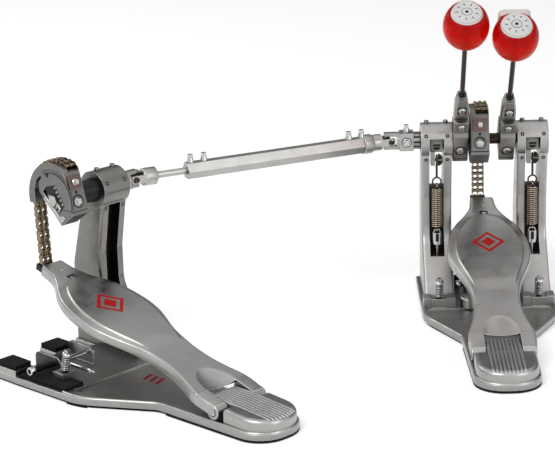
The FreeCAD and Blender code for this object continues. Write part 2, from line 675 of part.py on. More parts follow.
def post(unit, side, label):
    """A post: curved web on a long foot, barrel for the shaft, slot in its rear."""
    body = new_body(label)
    start = side * of.post_x - of.post_width / 2
    end = start + of.post_width
    half_barrel = of.barrel_radius / 2
    shaft = of.shaft_height
    neck, web = shaft - of.post_neck_drop, shaft - of.post_web_drop
    bends = [(of.post_web_rear, web), (of.post_web_rear, shaft * POST_WEB_LOW_SHARE),
             (of.post_front, shaft - of.post_front_drop), (of.post_front_mid, shaft - of.post_front_mid_drop)]
    profile = [
        (of.post_rear, base_top), (of.post_front, base_top), bends[2], bends[3], (of.post_front_neck, neck),
        (half_barrel, shaft), (-half_barrel, shaft), (of.post_neck_rear, neck), bends[0], bends[1],
        (of.post_rear, of.post_toe_height),
    ]
    pad(body, polygon(body, "YZ_Plane", start, profile), of.post_width)
    dress(body, "Fillet", of.post_web_round, at_corner(X_AXIS, [spot(0, across, up) for across, up in bends]))
    low = float(base_top)
    high = float(neck) - float(of.barrel_over)
    for level in (start, end):
        dress(body, "Fillet", of.post_edge, in_plane(X_AXIS, level, lambda edge: (
            low + NEAR < edge.CenterOfMass.z < high)))
    pad(body, circles(body, "YZ_Plane", start - of.barrel_over / 2, [(0, of.shaft_height, of.barrel_radius)]),
        of.post_width + of.barrel_over)
    middle = side * of.post_x
    reach = of.barrel_radius * 4
    slot_mid = shaft - of.slot_mid_drop
    upper = (slot_mid, shaft + of.slot_rise, reach * 2)
    if unit == "slave":
        upper = (slot_mid, shaft - of.slot_blind_drop, reach + of.slot_shallow)
    for bottom, top, depth in (upper, (slot_low, slot_mid, reach + of.slot_depth)):
        corners = [(middle - of.slot_width / 2, bottom), (middle + of.slot_width / 2, bottom),
                   (middle + of.slot_width / 2, top), (middle - of.slot_width / 2, top)]
        pocket(body, polygon(body, "XZ_Plane", reach, corners), depth)
    bore = circles(body, "YZ_Plane", end + of.barrel_over, [(0, of.shaft_height, of.bearing_radius)])
    pocket(body, bore, of.post_width + of.barrel_over * 2)
    if unit == "main":
        cavity = circles(body, "YZ_Plane", middle + of.slot_width / 2, [(0, shaft, of.cavity_radius)])
        pocket(body, cavity, of.slot_width)
    holes = circles(body, "XY_Plane", barrel_top + of.barrel_radius,
                    [(across, 0, of.cap_screw_radius + of.seat_gap) for across in cap_places(side)])
    pocket(body, holes, of.barrel_radius + of.cap_screw_hole)
    return node(body, label, frame_of(unit))


def shaft_frame(unit, local=None):
    """The frame of a pedal's shaft: the pedal's own, raised to the shaft."""
    raised = frame_of(unit, FreeCAD.Placement(spot(0, 0, of.shaft_height), FreeCAD.Rotation()))
    return raised if local is None else raised.multiply(local)


def bearings(unit, sides):
    """Bearing rings in the two cheeks of each barrel."""
    rings = []
    for side in sides:
        inner = of.sleeve_radius if side == LEFT else of.shaft_radius
        start = side * of.post_x - of.post_width / 2
        for left in (start, start + of.post_width - of.bearing_width):
            rings.append(ring(of.bearing_radius - of.seat_gap, inner + of.run_gap, of.bearing_width,
                              spot(left), X_AXIS))
    if unit == "slave":
        tip = of.post_x - of.post_width / 2 - of.barrel_over / 2 - of.boss_length
        rings.append(cut(taper(of.boss_small, of.boss_radius, of.boss_length, spot(tip), X_AXIS),
                         rod(of.hex_radius + of.free_gap, of.boss_length, spot(tip), X_AXIS)))
    return node(group(*rings), unit + "_bearings", shaft_frame(unit))


def fasteners(unit, sides):
    """The cap screws of the barrels and the hinge pin of the footboard."""
    pieces = [rod(of.pin_radius, of.board_heel_half * 2, spot(-of.board_heel_half, hinge_y, of.hinge_height),
                  X_AXIS)]
    for side in sides:
        for across in cap_places(side):
            pieces.append(rod(of.cap_screw_radius, of.cap_screw_hole + of.cap_screw_rise,
                              spot(across, 0, barrel_top - of.cap_screw_hole)))
    return node(group(*pieces), unit + "_fasteners", frame_of(unit))


def spur(unit, side, label):
    """A floor spur: point, shank, flange and square key head."""
    shank = of.spur_lift + of.spur_point
    top = of.spur_lift + of.spur_length
    made = fuse(taper(of.run_gap, of.spur_radius, of.spur_point, spot(0, 0, of.spur_lift)),
                rod(of.spur_radius, of.spur_length - of.spur_point, spot(0, 0, shank)),
                rod(of.spur_head_radius, of.spur_head_length, spot(0, 0, top)),
                block(of.spur_key_side, of.spur_key_side, of.spur_key_length,
                      spot(0, 0, top + of.spur_head_length)))
    return node(made, label, frame_of(unit, spur_place(unit, side)))


def arc_between(start, bend, end):
    """The circular arc from start to end whose end tangents meet at the bend."""
    middle = (start + end) * 0.5
    half = (end - start).Length / 2
    lean = math.acos(min(1.0, half / (bend - start).Length))
    top = middle + (bend - middle).normalize() * (half * math.tan(lean / 2))
    return Part.Arc(start, top, end).toShape()


def biarc(start, leave, end, arrive):
    """Two arcs that join smoothly between two spots with given headings."""
    sway, span = leave + arrive, end - start
    square = sway.dot(sway) - 4
    cross = -2 * span.dot(sway)
    reach = (-cross - math.sqrt(cross * cross - 4 * square * span.dot(span))) / (2 * square)
    bend, back = start + leave * reach, end - arrive * reach
    joint = (bend + back) * 0.5
    return [arc_between(start, bend, joint), arc_between(joint, back, end)]


def catch(radius, height):
    """Spots and headings of the loop at the upper end of a spring."""
    rise, bend = height + float(of.catch_rise), float(of.catch_bend)
    return [(spot(0, 0, rise), Y_BACK), (spot(0, -bend, rise + bend), Z_AXIS),
            (spot(0, 0, rise + bend * 2), Y_AXIS), (spot(0, bend, rise + bend), Z_BACK)]


def coil(label, radius, wire, pitch, turns, looped):
    """A wound spring about z: one tube along two arcs for each half turn, with end loops or without."""
    radius, wire, pitch = float(radius), float(wire), float(pitch)
    climb = math.atan2(pitch, 2 * math.pi * radius)
    stations = []
    for half in range(2 * turns + 1):
        turn = half * math.pi
        flat = math.cos(climb)
        stations.append((spot(radius * math.cos(turn), radius * math.sin(turn), pitch * half / 2),
                         spot(-math.sin(turn) * flat, math.cos(turn) * flat, math.sin(climb))))
    if looped:
        lower = [(spot(at.x, -at.y, -at.z), spot(-way.x, way.y, way.z)) for at, way in catch(radius, 0)]
        stations = lower[::-1] + stations + catch(radius, pitch * turns)
    edges = []
    for (start, leave), (end, arrive) in zip(stations, stations[1:]):
        edges += biarc(start, leave, end, arrive)
    points = [point for edge in edges for point in edge.discretize(6)[:-1]]
    skip = 12
    least = min((points[index] - points[index + skip + more]).Length
                for index in range(len(points) - skip * 2) for more in range(skip))
    print(label, "turns", turns, "least gap to itself %.2f mm" % (least - 2 * wire))
    at, way = stations[0]
    profile = Part.Wire(Part.Circle(at, way, wire).toShape())
    made = doc.addObject("Part::Feature", label)
    made.Shape = Part.Wire(edges).makePipeShell([profile], True, False)
    return made


SPRING_TURNS = 20
SPUR_TURNS = 7


def spring_axis(side):
    """Where the upright line of a return spring stands on the floor."""
    return spot(side * of.post_x, -of.rocker_reach)


def return_spring(side, label):
    made = coil(label, of.spring_radius, of.spring_wire, of.spring_pitch, SPRING_TURNS, True)
    made.Placement = FreeCAD.Placement(spring_axis(side) + spot(0, 0, spring_low), FreeCAD.Rotation())
    return node(made, label)


def spur_springs(unit):
    pieces = []
    for side in spur_sides(unit):
        made = coil(unit + " spur spring", of.spur_spring_radius, of.spur_wire, of.spur_spring_pitch,
                    SPUR_TURNS, False)
        made.Placement = spur_place(unit, side).multiply(
            FreeCAD.Placement(spot(0, 0, of.spur_spring_start), FreeCAD.Rotation()))
        pieces.append(made)
    return node(group(*pieces), unit + "_spur_springs", frame_of(unit))


def eye(radius, wire, at, axis):
    made = doc.addObject("Part::Torus", "eye")
    bind(made, Radius1=radius, Radius2=wire)
    made.Placement = facing(axis, at)
    return made


def spring_anchors():
    """Threaded rod, nut and eye that hold the lower end of each return spring."""
    pieces = []
    nut_top = spring_low - of.catch_rise - of.catch_bend - of.anchor_eye
    nut_low = nut_top - of.anchor_nut_length
    for side in (LEFT, RIGHT):
        place = spring_axis(side)
        pieces.append(fuse(rod(of.anchor_radius, nut_low - slot_low, place + spot(0, 0, slot_low)),
                           rod(of.anchor_nut_radius, of.anchor_nut_length, place + spot(0, 0, nut_low)),
                           eye(of.anchor_eye, of.eye_wire, place + spot(0, 0, nut_top), Y_AXIS)))
    return node(group(*pieces), "spring_anchors")


def rocker(side, inner, label):
    """The arm on a beater shaft that pulls a return spring."""
    width, left = of.rocker_width, -of.rocker_width / 2
    pin_at = spot(left, -of.rocker_reach, -of.rocker_drop)
    boss = block(width, of.rocker_rear, of.rocker_low + of.rocker_rise,
                 spot(0, -of.rocker_rear / 2, -of.rocker_low))
    leg = block(of.rocker_cheek, of.rocker_leg_half * 2,
                of.rocker_drop + of.rocker_leg_past + of.rocker_lap - of.rocker_low,
                spot(left + of.rocker_cheek / 2, -of.rocker_reach, -of.rocker_drop - of.rocker_leg_past))
    bore = rod(inner + of.seat_gap, width, spot(left), X_AXIS)
    disc_at = spot(0, -of.rocker_reach - of.swivel_width / 2, -of.rocker_drop)
    side_cut = block(of.swivel_radius * 2, of.swivel_radius * 2, of.swivel_radius * 2,
                     disc_at + spot(of.swivel_left - of.swivel_radius, 0, -of.swivel_radius))
    swivel = cut(rod(of.swivel_radius, of.swivel_width, disc_at, Y_AXIS), side_cut)
    made = fuse(cut(fuse(rod(of.rocker_radius, width, spot(left), X_AXIS), boss, leg), bore),
                rod(of.hook_pin_radius, width, pin_at, X_AXIS), swivel)
    beside = FreeCAD.Placement(spot(side * of.post_x), FreeCAD.Rotation())
    return node(made, label, shaft_frame("main", beside))


def spring_link(side, label):
    """Hook with an eye on the rocker pin and the ring that carries the spring."""
    place = spring_axis(side)
    eye_z = of.shaft_height - of.rocker_drop
    ring_low = spring_low + of.spring_pitch * SPRING_TURNS + of.catch_rise + of.catch_bend
    ring_top = ring_low + of.link_ring_radius * 2
    made = fuse(eye(of.eye_radius, of.eye_wire, place + spot(0, 0, eye_z), X_AXIS),
                rod(of.hook_radius, eye_z - of.eye_radius - ring_top, place + spot(0, 0, ring_top)),
                eye(of.link_ring_radius, of.eye_wire,
                    place + spot(0, 0, ring_low + of.link_ring_radius), Y_AXIS))
    return node(made, label)


cam_x = of.cam_left + of.cam_width / 2
chain_x = of.cam_left + of.cam_flange + of.chain_lift + of.chain_width / 2
chain_radius = of.cam_core + of.chain_plate_half + of.chain_lift


# Outlines of the cam as shares of its core radius, the slab's inner edge across as shares of its rear.
CAM_SLAB_SHARES = ((0.3, 0.93), (0.2, 0))
CAM_SLAB_TOP_SHARE = 0.8
CAM_LEAN_SHARE = 0.3
CAM_MOUTH_SHARES = ((0.6, 0.16), (0.82, -0.22), (0.84, 0.2), (0.72, 0.5), (0.52, 0.66), (0.48, 0.6),
                    (0.62, 0.44))
CAM_WINDOW_SHARES = ((0.46, 0.18), (0.26, 0.4), (-0.34, -0.1), (-0.16, -0.34))
CAM_TIP_SHARE = 0.3
CAM_LIP_SHARE = 0.28
CAM_FACE = turned(X_AXIS, -math.degrees(math.atan(CAM_LEAN_SHARE)), spot(cam_x, of.cam_rear, -of.cam_step))


def cam(unit):
    """The chain cam: flanged rim, slanted carrier, rear slab with a clamp slit."""
    body = new_body(unit + "_cam_body")
    start, width = of.cam_left, of.cam_width
    pad(body, circles(body, "YZ_Plane", start, [(0, 0, of.cam_core)]), width)
    for left, thick in ((start, of.cam_flange), (start + width - of.cam_lip, of.cam_lip)):
        pad(body, circles(body, "YZ_Plane", left, [(0, 0, of.cam_rim)]), thick)
    rear, core, step = of.cam_rear, of.cam_core, of.cam_step
    slab = [(rear + (level + step) * CAM_LEAN_SHARE, level) for level in (-step, core * CAM_SLAB_TOP_SHARE)]
    slab += [(rear * across, core * up) for across, up in CAM_SLAB_SHARES]
    pad(body, polygon(body, "YZ_Plane", start, slab), width)
    far = of.cam_rim * 2
    tip = (-core * CAM_TIP_SHARE, -of.cam_tip)
    below_tip = (tip[0], -far)
    inside = [(core * across, core * up) for across, up in CAM_MOUTH_SHARES]
    mouth = inside[:1] + [tip, below_tip, (far, -far), (far, -core * CAM_LIP_SHARE)] + inside[1:]
    chin = [tip, (rear, -step), (-far, -step), (-far, -far), below_tip]
    back = [(rear + (level + step) * CAM_LEAN_SHARE, level) for level in (-far, far)]
    back += [(-far, far), (-far, -far)]
    window = [(core * across, core * up) for across, up in CAM_WINDOW_SHARES]
    for outline, depth in ((mouth, width), (chin, width), (back, width), (window, of.cam_flange)):
        top = start + width if outline is not window else start + of.cam_flange
        pocket(body, polygon(body, "YZ_Plane", top, outline), depth)
    slit = [(rear, -of.cam_slit_at), (0, -of.cam_slit_at), (0, -of.cam_slit_at - of.slit_width),
            (rear, -of.cam_slit_at - of.slit_width)]
    pocket(body, polygon(body, "YZ_Plane", start + width, slit), width)
    pocket(body, circles(body, "YZ_Plane", start + width, [(0, 0, of.hex_radius + of.seat_gap)]), width)
    tools = [moved(rod(radius + of.seat_gap, depth, spot(0, 0, level), Y_AXIS), CAM_FACE)
             for radius, depth, level in cam_screws()]
    return node(cut(body, *tools), unit + "_cam", shaft_frame(unit))


def cam_screws():
    """Radius, depth and height on the rear face of the key screws in a cam's slab."""
    return ((of.big_screw_radius, of.big_screw_depth, of.cam_big_screw_at),
            (of.small_screw_radius, of.small_screw_depth, of.cam_small_screw_at))


KEY_SIDE_SHARE = 1.05


def key_screw(radius, depth, at, axis, rise):
    """A sunk round head that carries a square key."""
    side = radius * KEY_SIDE_SHARE
    square = block(side, side, rise)
    square.Placement = facing(axis, at).multiply(square.Placement)
    return fuse(rod(radius, depth, at, axis), square)


CHAIN_ROW_SHARES = (-0.5, -0.17, 0.17, 0.5)
LINK_ROW_SHARES = (-0.335, 0.335)
chain_turn = math.radians(float(of.chain_start))
chain_pin = spot(0, chain_radius * math.cos(chain_turn), chain_radius * math.sin(chain_turn))


def chain_rows(shares):
    """Where the plates of the chain stand across the pedal."""
    return [chain_x + (of.chain_width - of.chain_plate) * share for share in shares]


def chain_roller(at):
    return rod(of.chain_roller, of.chain_width, at - spot(of.chain_width / 2 - chain_x), X_AXIS)


def chain_wrap(unit):
    """The part of the drive chain that lies on the cam."""
    sweep = of.chain_end - of.chain_start
    pieces = []
    lead = turned(X_AXIS, of.chain_start + QUARTER_TURN)
    for row in chain_rows(CHAIN_ROW_SHARES):
        sector = []
        for radius in (chain_radius + of.chain_plate_half, chain_radius - of.chain_plate_half):
            piece = rod(radius, of.chain_plate, spot(row - of.chain_plate / 2), X_AXIS)
            bind(piece, Angle=sweep)
            sector.append(moved(piece, lead))
        pieces.append(cut(*sector))
    step = math.degrees(float(of.chain_pitch) / float(chain_radius))
    count = int(float(sweep) // step) + 1
    for index in range(count):
        turn = math.radians(float(of.chain_start) + index * step)
        pieces.append(chain_roller(spot(0, math.cos(turn) * chain_radius, math.sin(turn) * chain_radius)))
    return node(fuse(*pieces), unit + "_chain_wrap", shaft_frame(unit))


def chain_run(unit):
    """The part of the drive chain that hangs from the cam to the toe."""
    top = chain_pin - spot(0, 0, of.chain_gap)
    length = of.shaft_height - toe_height - of.chain_foot_rise + top.z
    half, plate = of.chain_plate_half, of.chain_plate
    pieces = []
    for row in chain_rows(CHAIN_ROW_SHARES):
        pieces.append(block(plate, half * 2, length, top + spot(row, 0, -length)))
    for row in chain_rows(LINK_ROW_SHARES):
        start = chain_pin + spot(row - plate / 2)
        strap = fuse(rod(half, plate, start, X_AXIS),
                     block(plate, half * 2, of.chain_gap + of.chain_pitch,
                           top + spot(row, 0, -of.chain_pitch)))
        pieces.append(cut(strap, rod(of.chain_roller + of.run_gap, plate, start, X_AXIS)))
    for index in range(int(float(length) // float(of.chain_pitch))):
        pieces.append(chain_roller(top - spot(0, 0, (index + 1 / 2) * of.chain_pitch)))
    from_pin = FreeCAD.Placement(-chain_pin, FreeCAD.Rotation())
    lean = turned(X_AXIS, -of.chain_lean, chain_pin).multiply(from_pin)
    return node(moved(fuse(*pieces), lean), unit + "_chain_run", shaft_frame(unit))


def toe_clip(unit):
    """The clip on the toe: two sides and a front round the lower end of the chain."""
    wall, seat = of.clip_wall, of.board_toe + of.seat_gap
    room = of.chain_width + of.clip_play * 2
    middle = seat + of.clip_depth / 2
    made = cut(block(room + wall * 2, of.clip_depth, of.clip_height, spot(chain_x, middle, of.clip_low)),
               block(room, of.clip_depth, of.clip_height, spot(chain_x, middle - wall, of.clip_low)))
    return node(made, unit + "_toe_clip", board_frame(unit))


def beater_frame(side):
    lean = of.left_lean if side == LEFT else of.right_lean
    return shaft_frame("main", turned(X_AXIS, lean))


HUB_SCREW_SHARES = (0.5, 0.78)


def hub_screws():
    """Radius, depth, seat and height of the key screws in a hub's rear."""
    return ((of.big_screw_radius, of.big_screw_depth, of.hub_rear, -of.run_gap),
            *((of.small_screw_radius, of.small_screw_depth, of.hub_half, of.hub_top * share)
              for share in HUB_SCREW_SHARES))


def hub_x(side):
    return of.left_hub_x if side == LEFT else of.right_hub_x


def beater_hub(side, bore_radius, label):
    body = new_body(label + "_body")
    start = hub_x(side)
    profile = [(-of.hub_rear, -of.hub_low), (of.hub_front, -of.hub_low), (of.hub_front, of.hub_step),
               (of.hub_half, of.hub_neck), (of.hub_half, of.hub_top), (-of.hub_half, of.hub_top),
               (-of.hub_half, of.hub_neck), (-of.hub_rear, of.hub_step)]
    pad(body, polygon(body, "YZ_Plane", start, profile), of.hub_width)
    corners = [spot(0, of.hub_front, -of.hub_low), spot(0, -of.hub_rear, -of.hub_low)]
    dress(body, "Fillet", of.hub_edge * 3, at_corner(X_AXIS, corners))
    for level in (start, start + of.hub_width):
        dress(body, "Fillet", of.hub_edge, in_plane(X_AXIS, level))
    behind, level = -of.hub_rear - of.cut_over, -of.hub_slit_at
    slit = [(behind, level), (0, level), (0, level - of.slit_width), (behind, level - of.slit_width)]
    pocket(body, polygon(body, "YZ_Plane", start + of.hub_width, slit), of.hub_width)
    bore = circles(body, "YZ_Plane", start + of.hub_width, [(0, 0, bore_radius + of.seat_gap)])
    pocket(body, bore, of.hub_width)
    middle = start + of.hub_width / 2
    pocket(body, circles(body, "XY_Plane", of.hub_top, [(middle, 0, of.beater_rod_radius + of.run_gap)]),
           of.hub_top - of.hub_neck)
    tools = [rod(radius + of.seat_gap, depth, spot(middle, -seat, level), Y_AXIS)
             for radius, depth, seat, level in hub_screws()]
    return node(cut(body, *tools), label, beater_frame(side))


def beater(side, head_at, label):
    """Rod, ball, rear cap and drum-side pad of one beater."""
    middle = hub_x(side) + of.hub_width / 2
    frame = beater_frame(side)
    end = head_at + of.head_cap_cut - of.cap_depth * 2
    node(rod(of.beater_rod_radius, end - of.beater_rod_start, spot(middle, 0, of.beater_rod_start)),
         label + "_rod", frame)
    centre = spot(middle, 0, head_at)
    wide = of.head_radius * 4
    head = cut(ball(of.head_radius, centre), block(wide, wide, wide, centre + spot(0, 0, of.head_cap_cut)),
               block(wide, wide, wide, centre + spot(0, of.head_pad_cut + wide / 2, -wide / 2)),
               rod(of.beater_rod_radius + of.seat_gap, end - of.beater_rod_start,
                   spot(middle, 0, of.beater_rod_start)))
    node(head, label + "_head", frame)
    node(rod(of.cap_radius, of.cap_depth, centre + spot(0, 0, of.head_cap_cut)), label + "_cap", frame)
    node(rod(of.pad_radius, of.pad_depth, centre + spot(0, of.head_pad_cut), Y_AXIS), label + "_pad", frame)


def yoke(own, toward, across, hole):
    """A joint yoke about the origin: base disc, two arms and their pin holes."""
    base = rod(of.yoke_radius, of.yoke_base_length, toward * float(of.yoke_base), toward)
    arms = []
    length = of.yoke_base + of.yoke_past + of.yoke_base_length / 2
    for side in (LEFT, RIGHT):
        arm = block(of.yoke_width, of.yoke_arm, length, spot(0, side * (of.yoke_radius - of.yoke_arm / 2),
                                                             -of.yoke_past))
        turn = FreeCAD.Rotation(across.cross(toward), across, toward, "ZXY")
        arm.Placement = FreeCAD.Placement(spot(), turn).multiply(arm.Placement)
        arms.append(arm)
    bore = rod(hole, of.yoke_radius * 4, across * float(-of.yoke_radius * 2), across)
    return cut(fuse(base, *arms, *own), bore)


def cross():
    """The pin cross of a universal joint about the origin."""
    reach = of.cross_reach
    return fuse(rod(of.cross_radius, reach * 2, spot(0, 0, -reach)),
                rod(of.cross_radius, reach * 2, spot(0, -reach), Y_AXIS), ball(of.cross_core))


def shaft_pieces():
    shaft_end = of.post_x + of.post_width / 2 + of.shaft_over
    made = fuse(rod(of.shaft_radius, shaft_end - of.main_shaft_left, spot(of.main_shaft_left), X_AXIS),
                hexagon(of.hex_radius, of.hex_right - of.hex_left, spot(of.hex_left), X_AXIS))
    node(made, "main_shaft", shaft_frame("main"))
    made = fuse(rod(of.shaft_radius, shaft_end - of.slave_shaft_left, spot(of.slave_shaft_left), X_AXIS),
                hexagon(of.hex_radius, of.hex_right - of.hex_left, spot(of.hex_left), X_AXIS))
    place = FreeCAD.Placement(spot(joint_x), FreeCAD.Rotation())
    own = [rod(of.knurl_radius, of.yoke_reach - of.yoke_base - of.barrel_over,
               spot(of.barrel_over - of.yoke_reach), X_AXIS)]
    toward = moved(yoke(own, X_BACK, Z_AXIS, of.cross_radius + of.seat_gap), place)
    node(fuse(made, toward), "slave_shaft", shaft_frame("slave"))


def left_sleeve():
    """The hollow shaft of the left beater with its knurled boss, coupler and yoke."""
    joint = FreeCAD.Placement(spot(-of.main_joint_x), FreeCAD.Rotation())
    knurl = -(of.post_x + of.post_width / 2 + of.barrel_over) - of.knurl_length
    room = of.main_shaft_left - of.shaft_over
    tube = cut(rod(of.sleeve_radius, of.sleeve_right - of.sleeve_left, spot(of.sleeve_left), X_AXIS),
               rod(of.shaft_radius + of.run_gap, of.sleeve_right - room, spot(room), X_AXIS))
    coupler_x = knurl - of.coupler_width / 2
    coupler_side = of.coupler_half * 2
    coupler = block(of.coupler_width, coupler_side, coupler_side, spot(coupler_x, 0, -of.coupler_half))
    made = fuse(tube, rod(of.knurl_radius, of.knurl_length, spot(knurl), X_AXIS), coupler,
                moved(yoke([], X_AXIS, Z_AXIS, of.cross_radius + of.seat_gap), joint))
    node(made, "left_sleeve", shaft_frame("main"))
    return coupler_x


DRIVE = turned(Z_AXIS, of.drive_angle, main_joint)
SLAVE_END = FreeCAD.Placement(spot(-of.drive_length), FreeCAD.Rotation())


HEX_FLAT_SHARE = math.sqrt(3) / 2


def drive_shaft():
    """Crosses, hex tube and telescoping rod between the two pedals."""
    node(cross(), "drive_cross_main", DRIVE)
    node(moved(cross(), SLAVE_END), "drive_cross_slave", DRIVE)
    far = of.rod_showing - of.drive_length
    low = of.tube_hex * HEX_FLAT_SHARE - of.screw_seat
    near_end, far_end = -(of.tube_start + of.screw_first), far + of.screw_far_first
    places = [near_end, near_end - of.screw_step, far_end, far_end + of.screw_step]
    length = of.screw_seat + of.screw_rise
    screws = []
    holes = []
    for place in places:
        seat = spot(place, 0, low)
        screws.append(fuse(rod(of.screw_radius, length, seat),
                           block(of.screw_key, of.screw_key, of.screw_key_length, seat + spot(0, 0, length))))
        holes.append(rod(of.screw_radius + of.seat_gap, length, seat))
    own = [hexagon(of.tube_hex, -far - of.tube_start, spot(far), X_AXIS),
           rod(of.yoke_radius, of.tube_start - of.yoke_base, spot(-of.tube_start), X_AXIS)]
    tube = cut(yoke(own, X_BACK, Y_AXIS, of.cross_radius + of.cross_gap),
               rod(of.drive_rod_radius + of.run_gap, of.tube_bore_depth, spot(far), X_AXIS), *holes)
    node(tube, "drive_tube", DRIVE)
    node(group(*screws), "drive_tube_screws", DRIVE)
    reach = of.drive_length + far + of.drive_rod_inside - of.yoke_base
    inner = [rod(of.drive_rod_radius, reach, spot(of.yoke_base), X_AXIS)]
    node(moved(yoke(inner, X_AXIS, Y_AXIS, of.cross_radius + of.cross_gap), SLAVE_END), "drive_rod", DRIVE)


SUNK_HEAD_SHARE = 0.6
SUNK_KEY_SHARE = 1.25


def sunk_screw(radius, depth, at, axis):
    """A key screw in its recess, given by the middle of the recess floor."""
    return key_screw(radius, depth * SUNK_HEAD_SHARE, at, axis, depth * SUNK_KEY_SHARE)


def drive_screws(coupler_x):
    """The key screws of the hubs, cams and coupler, by the body that carries them."""
    hub_sets = {}
    for side in (LEFT, RIGHT):
        middle = hub_x(side) + of.hub_width / 2
        lean = turned(X_AXIS, of.left_lean if side == LEFT else of.right_lean)
        hub_sets[side] = [moved(sunk_screw(radius, depth, spot(middle, depth - seat, level), Y_BACK), lean)
                          for radius, depth, seat, level in hub_screws()]
    half = of.coupler_half + of.seat_gap
    coupler = [key_screw(of.coupler_screw_radius, of.coupler_screw_rise, spot(coupler_x, 0, half), Z_AXIS,
                         of.screw_rise),
               key_screw(of.big_screw_radius, of.coupler_screw_rise / 2, spot(coupler_x, -half), Y_BACK,
                         of.coupler_screw_rise)]
    node(group(*hub_sets[LEFT], *coupler), "left_drive_screws", shaft_frame("main"))
    for unit, extra in (("main", hub_sets[RIGHT]), ("slave", [])):
        made = [moved(sunk_screw(radius, depth, spot(0, depth, level), Y_BACK), CAM_FACE)
                for radius, depth, level in cam_screws()]
        node(group(*extra, *made), unit + "_drive_screws", shaft_frame(unit))


def clamp(unit):
    """The hoop clamp's lever on its cross pin and the key screw beside it."""
    left = tab_x(unit) - of.tab_gap / 2 - of.tab_depth / 2
    axle = spot(left, of.clamp_y, of.clamp_height)
    tip = of.clamp_pin_radius / 2
    inside = left + of.tab_depth + of.free_gap
    tail = spot(inside + of.clamp_block_width / 2, of.clamp_y - of.clamp_rod_length, of.clamp_height)
    hub_at = spot(inside, of.clamp_y, of.clamp_height)
    lever = cut(fuse(rod(of.clamp_pin_radius, of.tab_gap + of.tab_depth, axle, X_AXIS),
                     rod(of.clamp_block_radius, of.clamp_block_width, hub_at, X_AXIS),
                     rod(of.clamp_rod_radius, of.clamp_rod_length, tail, Y_AXIS),
                     ball(of.clamp_knob_radius, tail)),
                rod(tip + of.run_gap, of.clamp_block_radius, axle, X_AXIS))
    node(lever, unit + "_clamp_lever", frame_of(unit))
    length = of.slave_key_length if unit == "slave" else of.main_key_length
    start = axle - spot(of.free_gap)
    end = start - spot(length)
    head = end - spot(of.key_head_length)
    socket = block(of.key_square, of.key_square, of.key_square_depth)
    socket.Placement = facing(X_AXIS, head).multiply(socket.Placement)
    key = cut(fuse(rod(tip, of.clamp_block_radius - of.free_gap, start, X_AXIS),
                   rod(of.key_radius, length, end, X_AXIS),
                   rod(of.key_head_radius, of.key_head_length, head, X_AXIS)),
              socket)
    node(key, unit + "_clamp_screw", frame_of(unit))


for unit in ("main", "slave"):
    base_plate(unit)
    mat(unit)
    heel_plate(unit)
    footboard(unit)
    toe_clip(unit)
    cam(unit)
    chain_wrap(unit)
    chain_run(unit)
    spur_springs(unit)
    clamp(unit)
    for side in spur_sides(unit):
        spur(unit, side, unit + ("_left_spur" if side == LEFT else "_right_spur"))
for side, word, inner, head_at in ((LEFT, "left", of.sleeve_radius, of.left_head_at),
                                   (RIGHT, "right", of.shaft_radius, of.right_head_at)):
    post("main", side, "main_" + word + "_post")
    return_spring(side, word + "_return_spring")
    rocker(side, inner, word + "_rocker")
    spring_link(side, word + "_spring_link")
    beater_hub(side, inner if side == LEFT else of.hex_radius, word + "_beater_hub")
    beater(side, head_at, word + "_beater")
post("slave", RIGHT, "slave_post")
spring_anchors()
bearings("main", (LEFT, RIGHT))
bearings("slave", (RIGHT,))
fasteners("main", (LEFT, RIGHT))
fasteners("slave", (RIGHT,))
shaft_pieces()
coupler_middle = left_sleeve()
drive_screws(coupler_middle)
drive_shaft()

doc.recompute()
os.makedirs("parts", exist_ok=True)
for old in os.listdir("parts"):
    os.remove(os.path.join("parts", old))
for thing in nodes:
    bad = {"Invalid", "Error"} & set(thing.State)
    if bad or thing.Shape.isNull() or not thing.Shape.isValid():
        raise RuntimeError("bad shape: " + thing.Label)
for thing in doc.Objects:
    if {"Invalid", "Error"} & set(thing.State):
        raise RuntimeError("bad object: " + thing.Label + " " + thing.Name)
for thing in nodes:
    thing.Shape.exportStep(os.path.join("parts", thing.Label + ".step"))
print(len(nodes), "nodes written")
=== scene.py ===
import bmesh
import bpy
import math
from mathutils import Matrix, Vector


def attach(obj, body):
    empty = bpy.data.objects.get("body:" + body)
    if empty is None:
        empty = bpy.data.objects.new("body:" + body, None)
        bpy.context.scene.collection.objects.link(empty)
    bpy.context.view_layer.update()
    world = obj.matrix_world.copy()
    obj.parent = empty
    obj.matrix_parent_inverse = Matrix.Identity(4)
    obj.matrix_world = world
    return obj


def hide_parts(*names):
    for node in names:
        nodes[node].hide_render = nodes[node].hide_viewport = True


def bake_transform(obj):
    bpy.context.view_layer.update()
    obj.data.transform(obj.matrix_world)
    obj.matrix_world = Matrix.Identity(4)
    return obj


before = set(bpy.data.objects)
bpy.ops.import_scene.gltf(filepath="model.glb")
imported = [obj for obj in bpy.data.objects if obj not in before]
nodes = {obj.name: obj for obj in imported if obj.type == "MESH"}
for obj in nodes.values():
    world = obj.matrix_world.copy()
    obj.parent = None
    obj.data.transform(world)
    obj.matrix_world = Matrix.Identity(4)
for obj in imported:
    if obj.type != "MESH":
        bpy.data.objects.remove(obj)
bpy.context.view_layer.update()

# Shapes are in millimetres and degrees, as the solids are; materials and the studio are in metres.
MM = 0.001
UNITS, SIDES = ("main", "slave"), ("left", "right")
SIGN = {"left": -1, "right": 1}
DRIVER = {"left": "left_drive", "right": "main_drive"}
SHAFT_Z = 175.5
SLAVE_AT, SLAVE_TURN = (-430.837, -188.309, 0), 45.4
DRIVE_AT, DRIVE_TURN = (-103, 0, SHAFT_Z), 25.2
DRIVE_LENGTH, ROD_SHOWING = 293.1, 58.4
BOARD_AT, BOARD_TURN = (0, -236.817, 18.1), 15.95
POST_X, SLEEVE_END = 51.4, -68.7
LEAN = {"left": 33, "right": 37}
